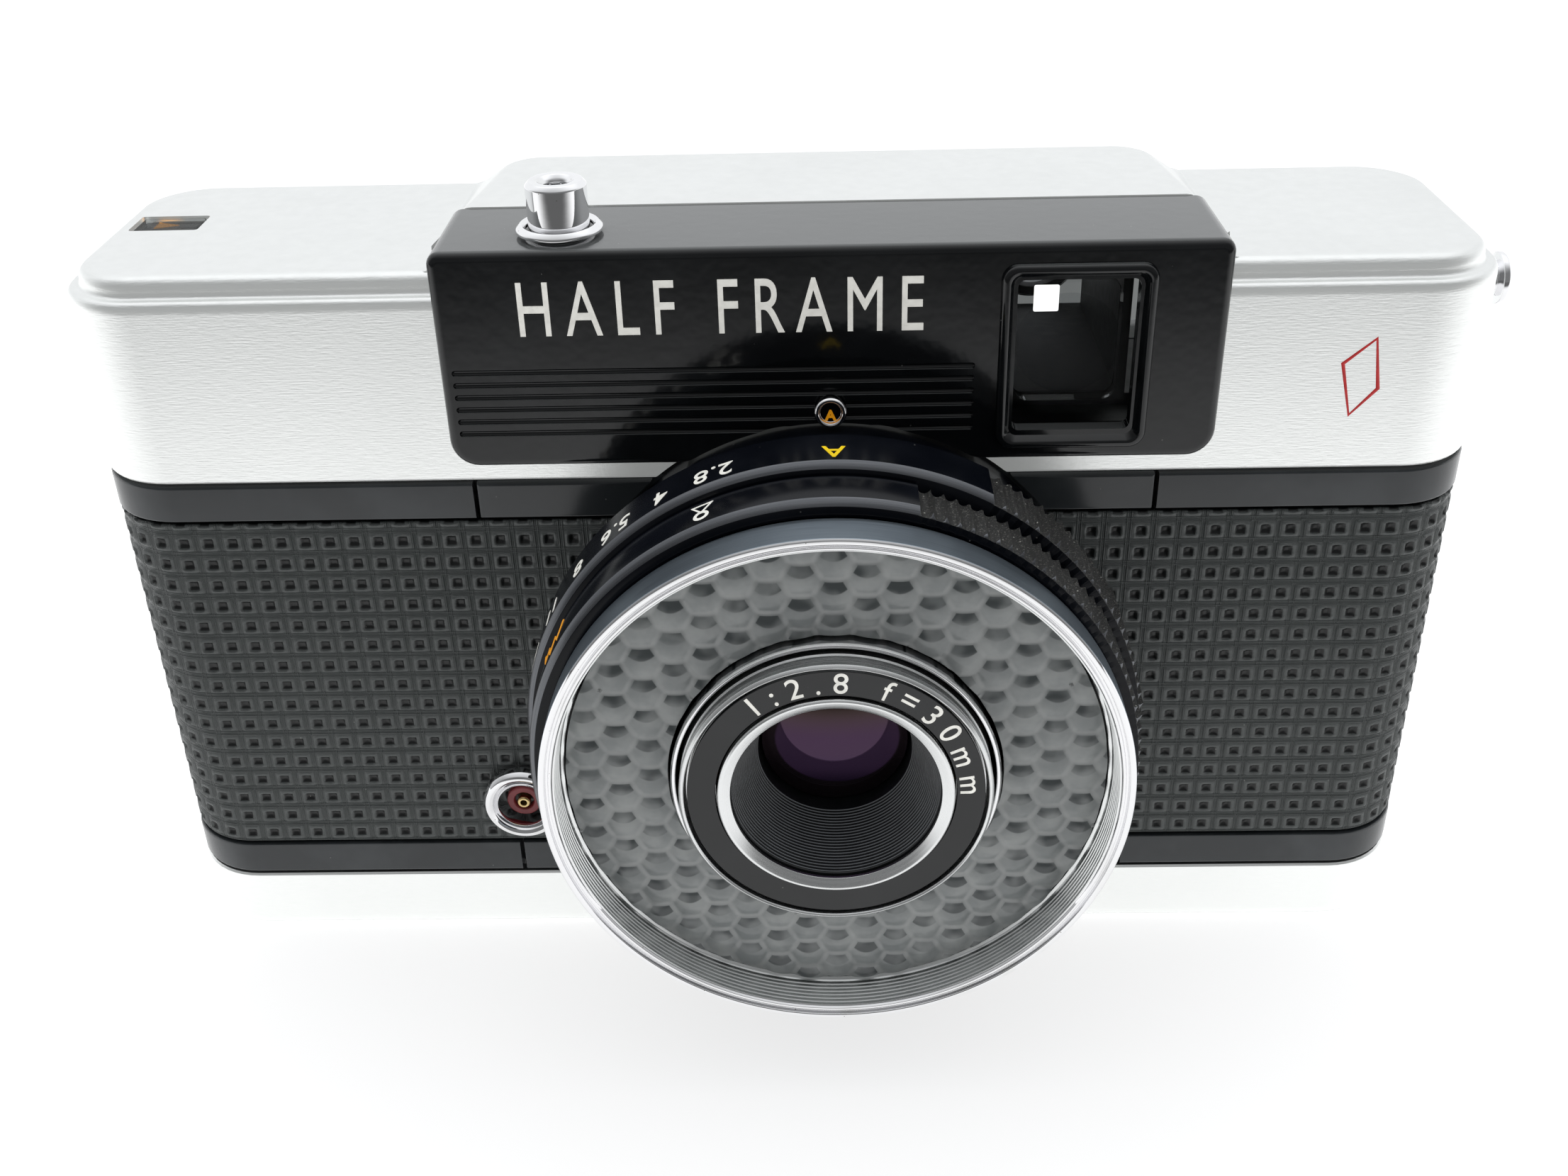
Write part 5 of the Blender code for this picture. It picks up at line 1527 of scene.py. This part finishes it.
def make_wheel():
    """The thumb wheel with its knurled rim and the gear beneath it."""
    radius = reach("advance_wheel")
    high = node_box("advance_wheel")[1][2]

    def profile(angle):
        notch = 0.5 * (0.5 + 0.5 * math.cos(angle * 48)) ** 2
        return [
            (0, high - 0.3), (6.5, high - 0.3), (6.8, high), (radius - 0.9, high),
            (radius - notch, high - 0.5), (radius - notch, high - 2.1), (radius - 0.9, high - 2.6),
            (4.0, high - 2.6), (4.0, 52.9), (0, 52.9),
        ]
    wheel = turned(WHEEL_AXIS, profile, 0.08, 576, closed=False, steps=1)
    gear_low = node_box("advance_wheel")[0][2]
    teeth = []
    for i in range(24):
        middle = 2 * math.pi * i / 24
        for r, share in ((6.55, -0.62), (7.75, -0.22), (7.75, 0.22), (6.55, 0.62)):
            a = middle + share * math.pi / 24
            teeth.append((WHEEL[0] + r * math.cos(a), WHEEL[1] + r * math.sin(a)))
    gear = stack([(np.array(teeth), gear_low), (np.array(teeth), gear_low + 1.2)])
    stand_in("advance_wheel", join(wheel, gear), STEEL)


def make_latch():
    """The slide on the left end that frees the back, with a ribbed grip."""
    low, high = node_box("door_latch")
    plate_x = LEFT - 0.75
    mesh = slab((plate_x, low[1], low[2]), (LEFT - 0.15, high[1], high[2]), 0.2)
    grip_low, grip_high = (low[0], low[1] + 0.6, low[2] + 3.5), (LEFT - 0.5, high[1] - 0.6, low[2] + 7.5)
    mesh = join(mesh, slab(grip_low, grip_high, 0.15, 0.15))
    ribs = [slab((low[0] - 1, 0, z - 0.15), (low[0] + 0.25, 10, z + 0.15))
            for z in np.arange(low[2] + 4.2, low[2] + 7.2, 0.65)]
    stand_in("door_latch", cut(mesh, *ribs), CHROME)


# ---------------------------------------------------------------- the stage


def bright_light(name, strength):
    """A pale surface that gives off light, slightly uneven."""
    finish = Finish(name, 0.6)
    finish.colour((0.9, 0.9, 0.88))
    finish.glow((1.0, 1.0, 0.97), finish.noise(1.2) * 0.4 + strength)
    return finish.material


BRIGHT = bright_light("bright_finder_image", 1.1)


def make_floor():
    """A pale floor that gives off light, far larger than the view, with a painted shadow of the viewer
    darkening it far in front, out of view, which the glossy fronts mirror.
    """
    size = 4000.0
    mesh = raw_mesh([(-size, -size, 0), (size, -size, 0), (size, size, 0), (-size, size, 0)], [(0, 1, 2, 3)])
    finish = Finish("lit_white_floor", 0.8, Specular_IOR_Level=0.1)
    _, y, _ = finish.xyz()
    # Painted shadow: beyond y = -95 mm in front the floor darkens, to near black past -230 mm.
    near = rise(y, -230.0, -95.0)
    finish.colour((0.05, 0.05, 0.05), near, (0.5, 0.5, 0.5))
    finish.glow((1.0, 1.0, 1.0), near * 0.66 + 0.08)
    mesh.materials.append(finish.material)
    new_object("floor", mesh)


def make_world():
    """A bright studio: strongest behind the object, dimmer behind the viewer."""
    world = bpy.data.worlds.new("studio")
    bpy.context.scene.world = world
    world.use_nodes = True
    tree = world.node_tree
    place = tree.nodes.new("ShaderNodeTexCoord")
    split = tree.nodes.new("ShaderNodeSeparateXYZ")
    tree.links.new(place.outputs["Generated"], split.inputs[0])
    _, y, z = [Field(tree, out) for out in split.outputs]
    behind = rise(y + z * 0.3, -0.35, 0.5)
    overhead = rise(z, 0.55, 0.95)
    strength = 0.20 + behind * 0.85 + overhead * 0.3
    background = tree.nodes["Background"]
    background.inputs["Color"].default_value = (0.97, 0.985, 1.0, 1.0)
    tree.links.new(strength.socket, background.inputs["Strength"])


def make_camera():
    """The viewer's place and angle, fitted to the object's own straight edges and circles."""
    data = bpy.data.cameras.new("viewer")
    data.lens = 37.76
    data.sensor_width = 36.0
    data.clip_start = 0.001
    camera = new_object("viewer", data)
    camera.location = Vector((-0.9, -136.85, 110.4)) * MM
    yaw, pitch, roll = (math.radians(v) for v in (-1.52, -30.45, -1.54))
    ahead_of = Vector((math.sin(yaw) * math.cos(pitch), math.cos(yaw) * math.cos(pitch), math.sin(pitch)))
    camera.rotation_mode = "QUATERNION"
    camera.rotation_quaternion = ahead_of.to_track_quat("-Z", "Y") @ Quaternion((0, 0, 1), roll)
    bpy.context.scene.camera = camera


def build():
    """Gives the CAD bodies their plain finishes, then shows the detailed pieces, stage and camera."""
    for node, obj in frame["nodes"].items():
        obj.data.materials.clear()
        obj.data.materials.append(SLOT_FINISH[NODE_SLOT[node]])
    make_chassis()
    make_front_panel()
    make_coverings()
    make_bottom_cover()
    make_top_cover()
    make_fascia()
    make_fascia_words()
    make_index_stud()
    make_finder()
    make_button()
    make_lug()
    make_counter()
    make_cover_mark()
    make_housing()
    make_rings()
    make_light_cell()
    make_focus_barrel()
    make_sync_socket()
    make_back_door()
    make_wheel()
    make_latch()
    make_floor()
    make_world()
    make_camera()
    bpy.context.scene.view_settings.view_transform = "Standard"


build()
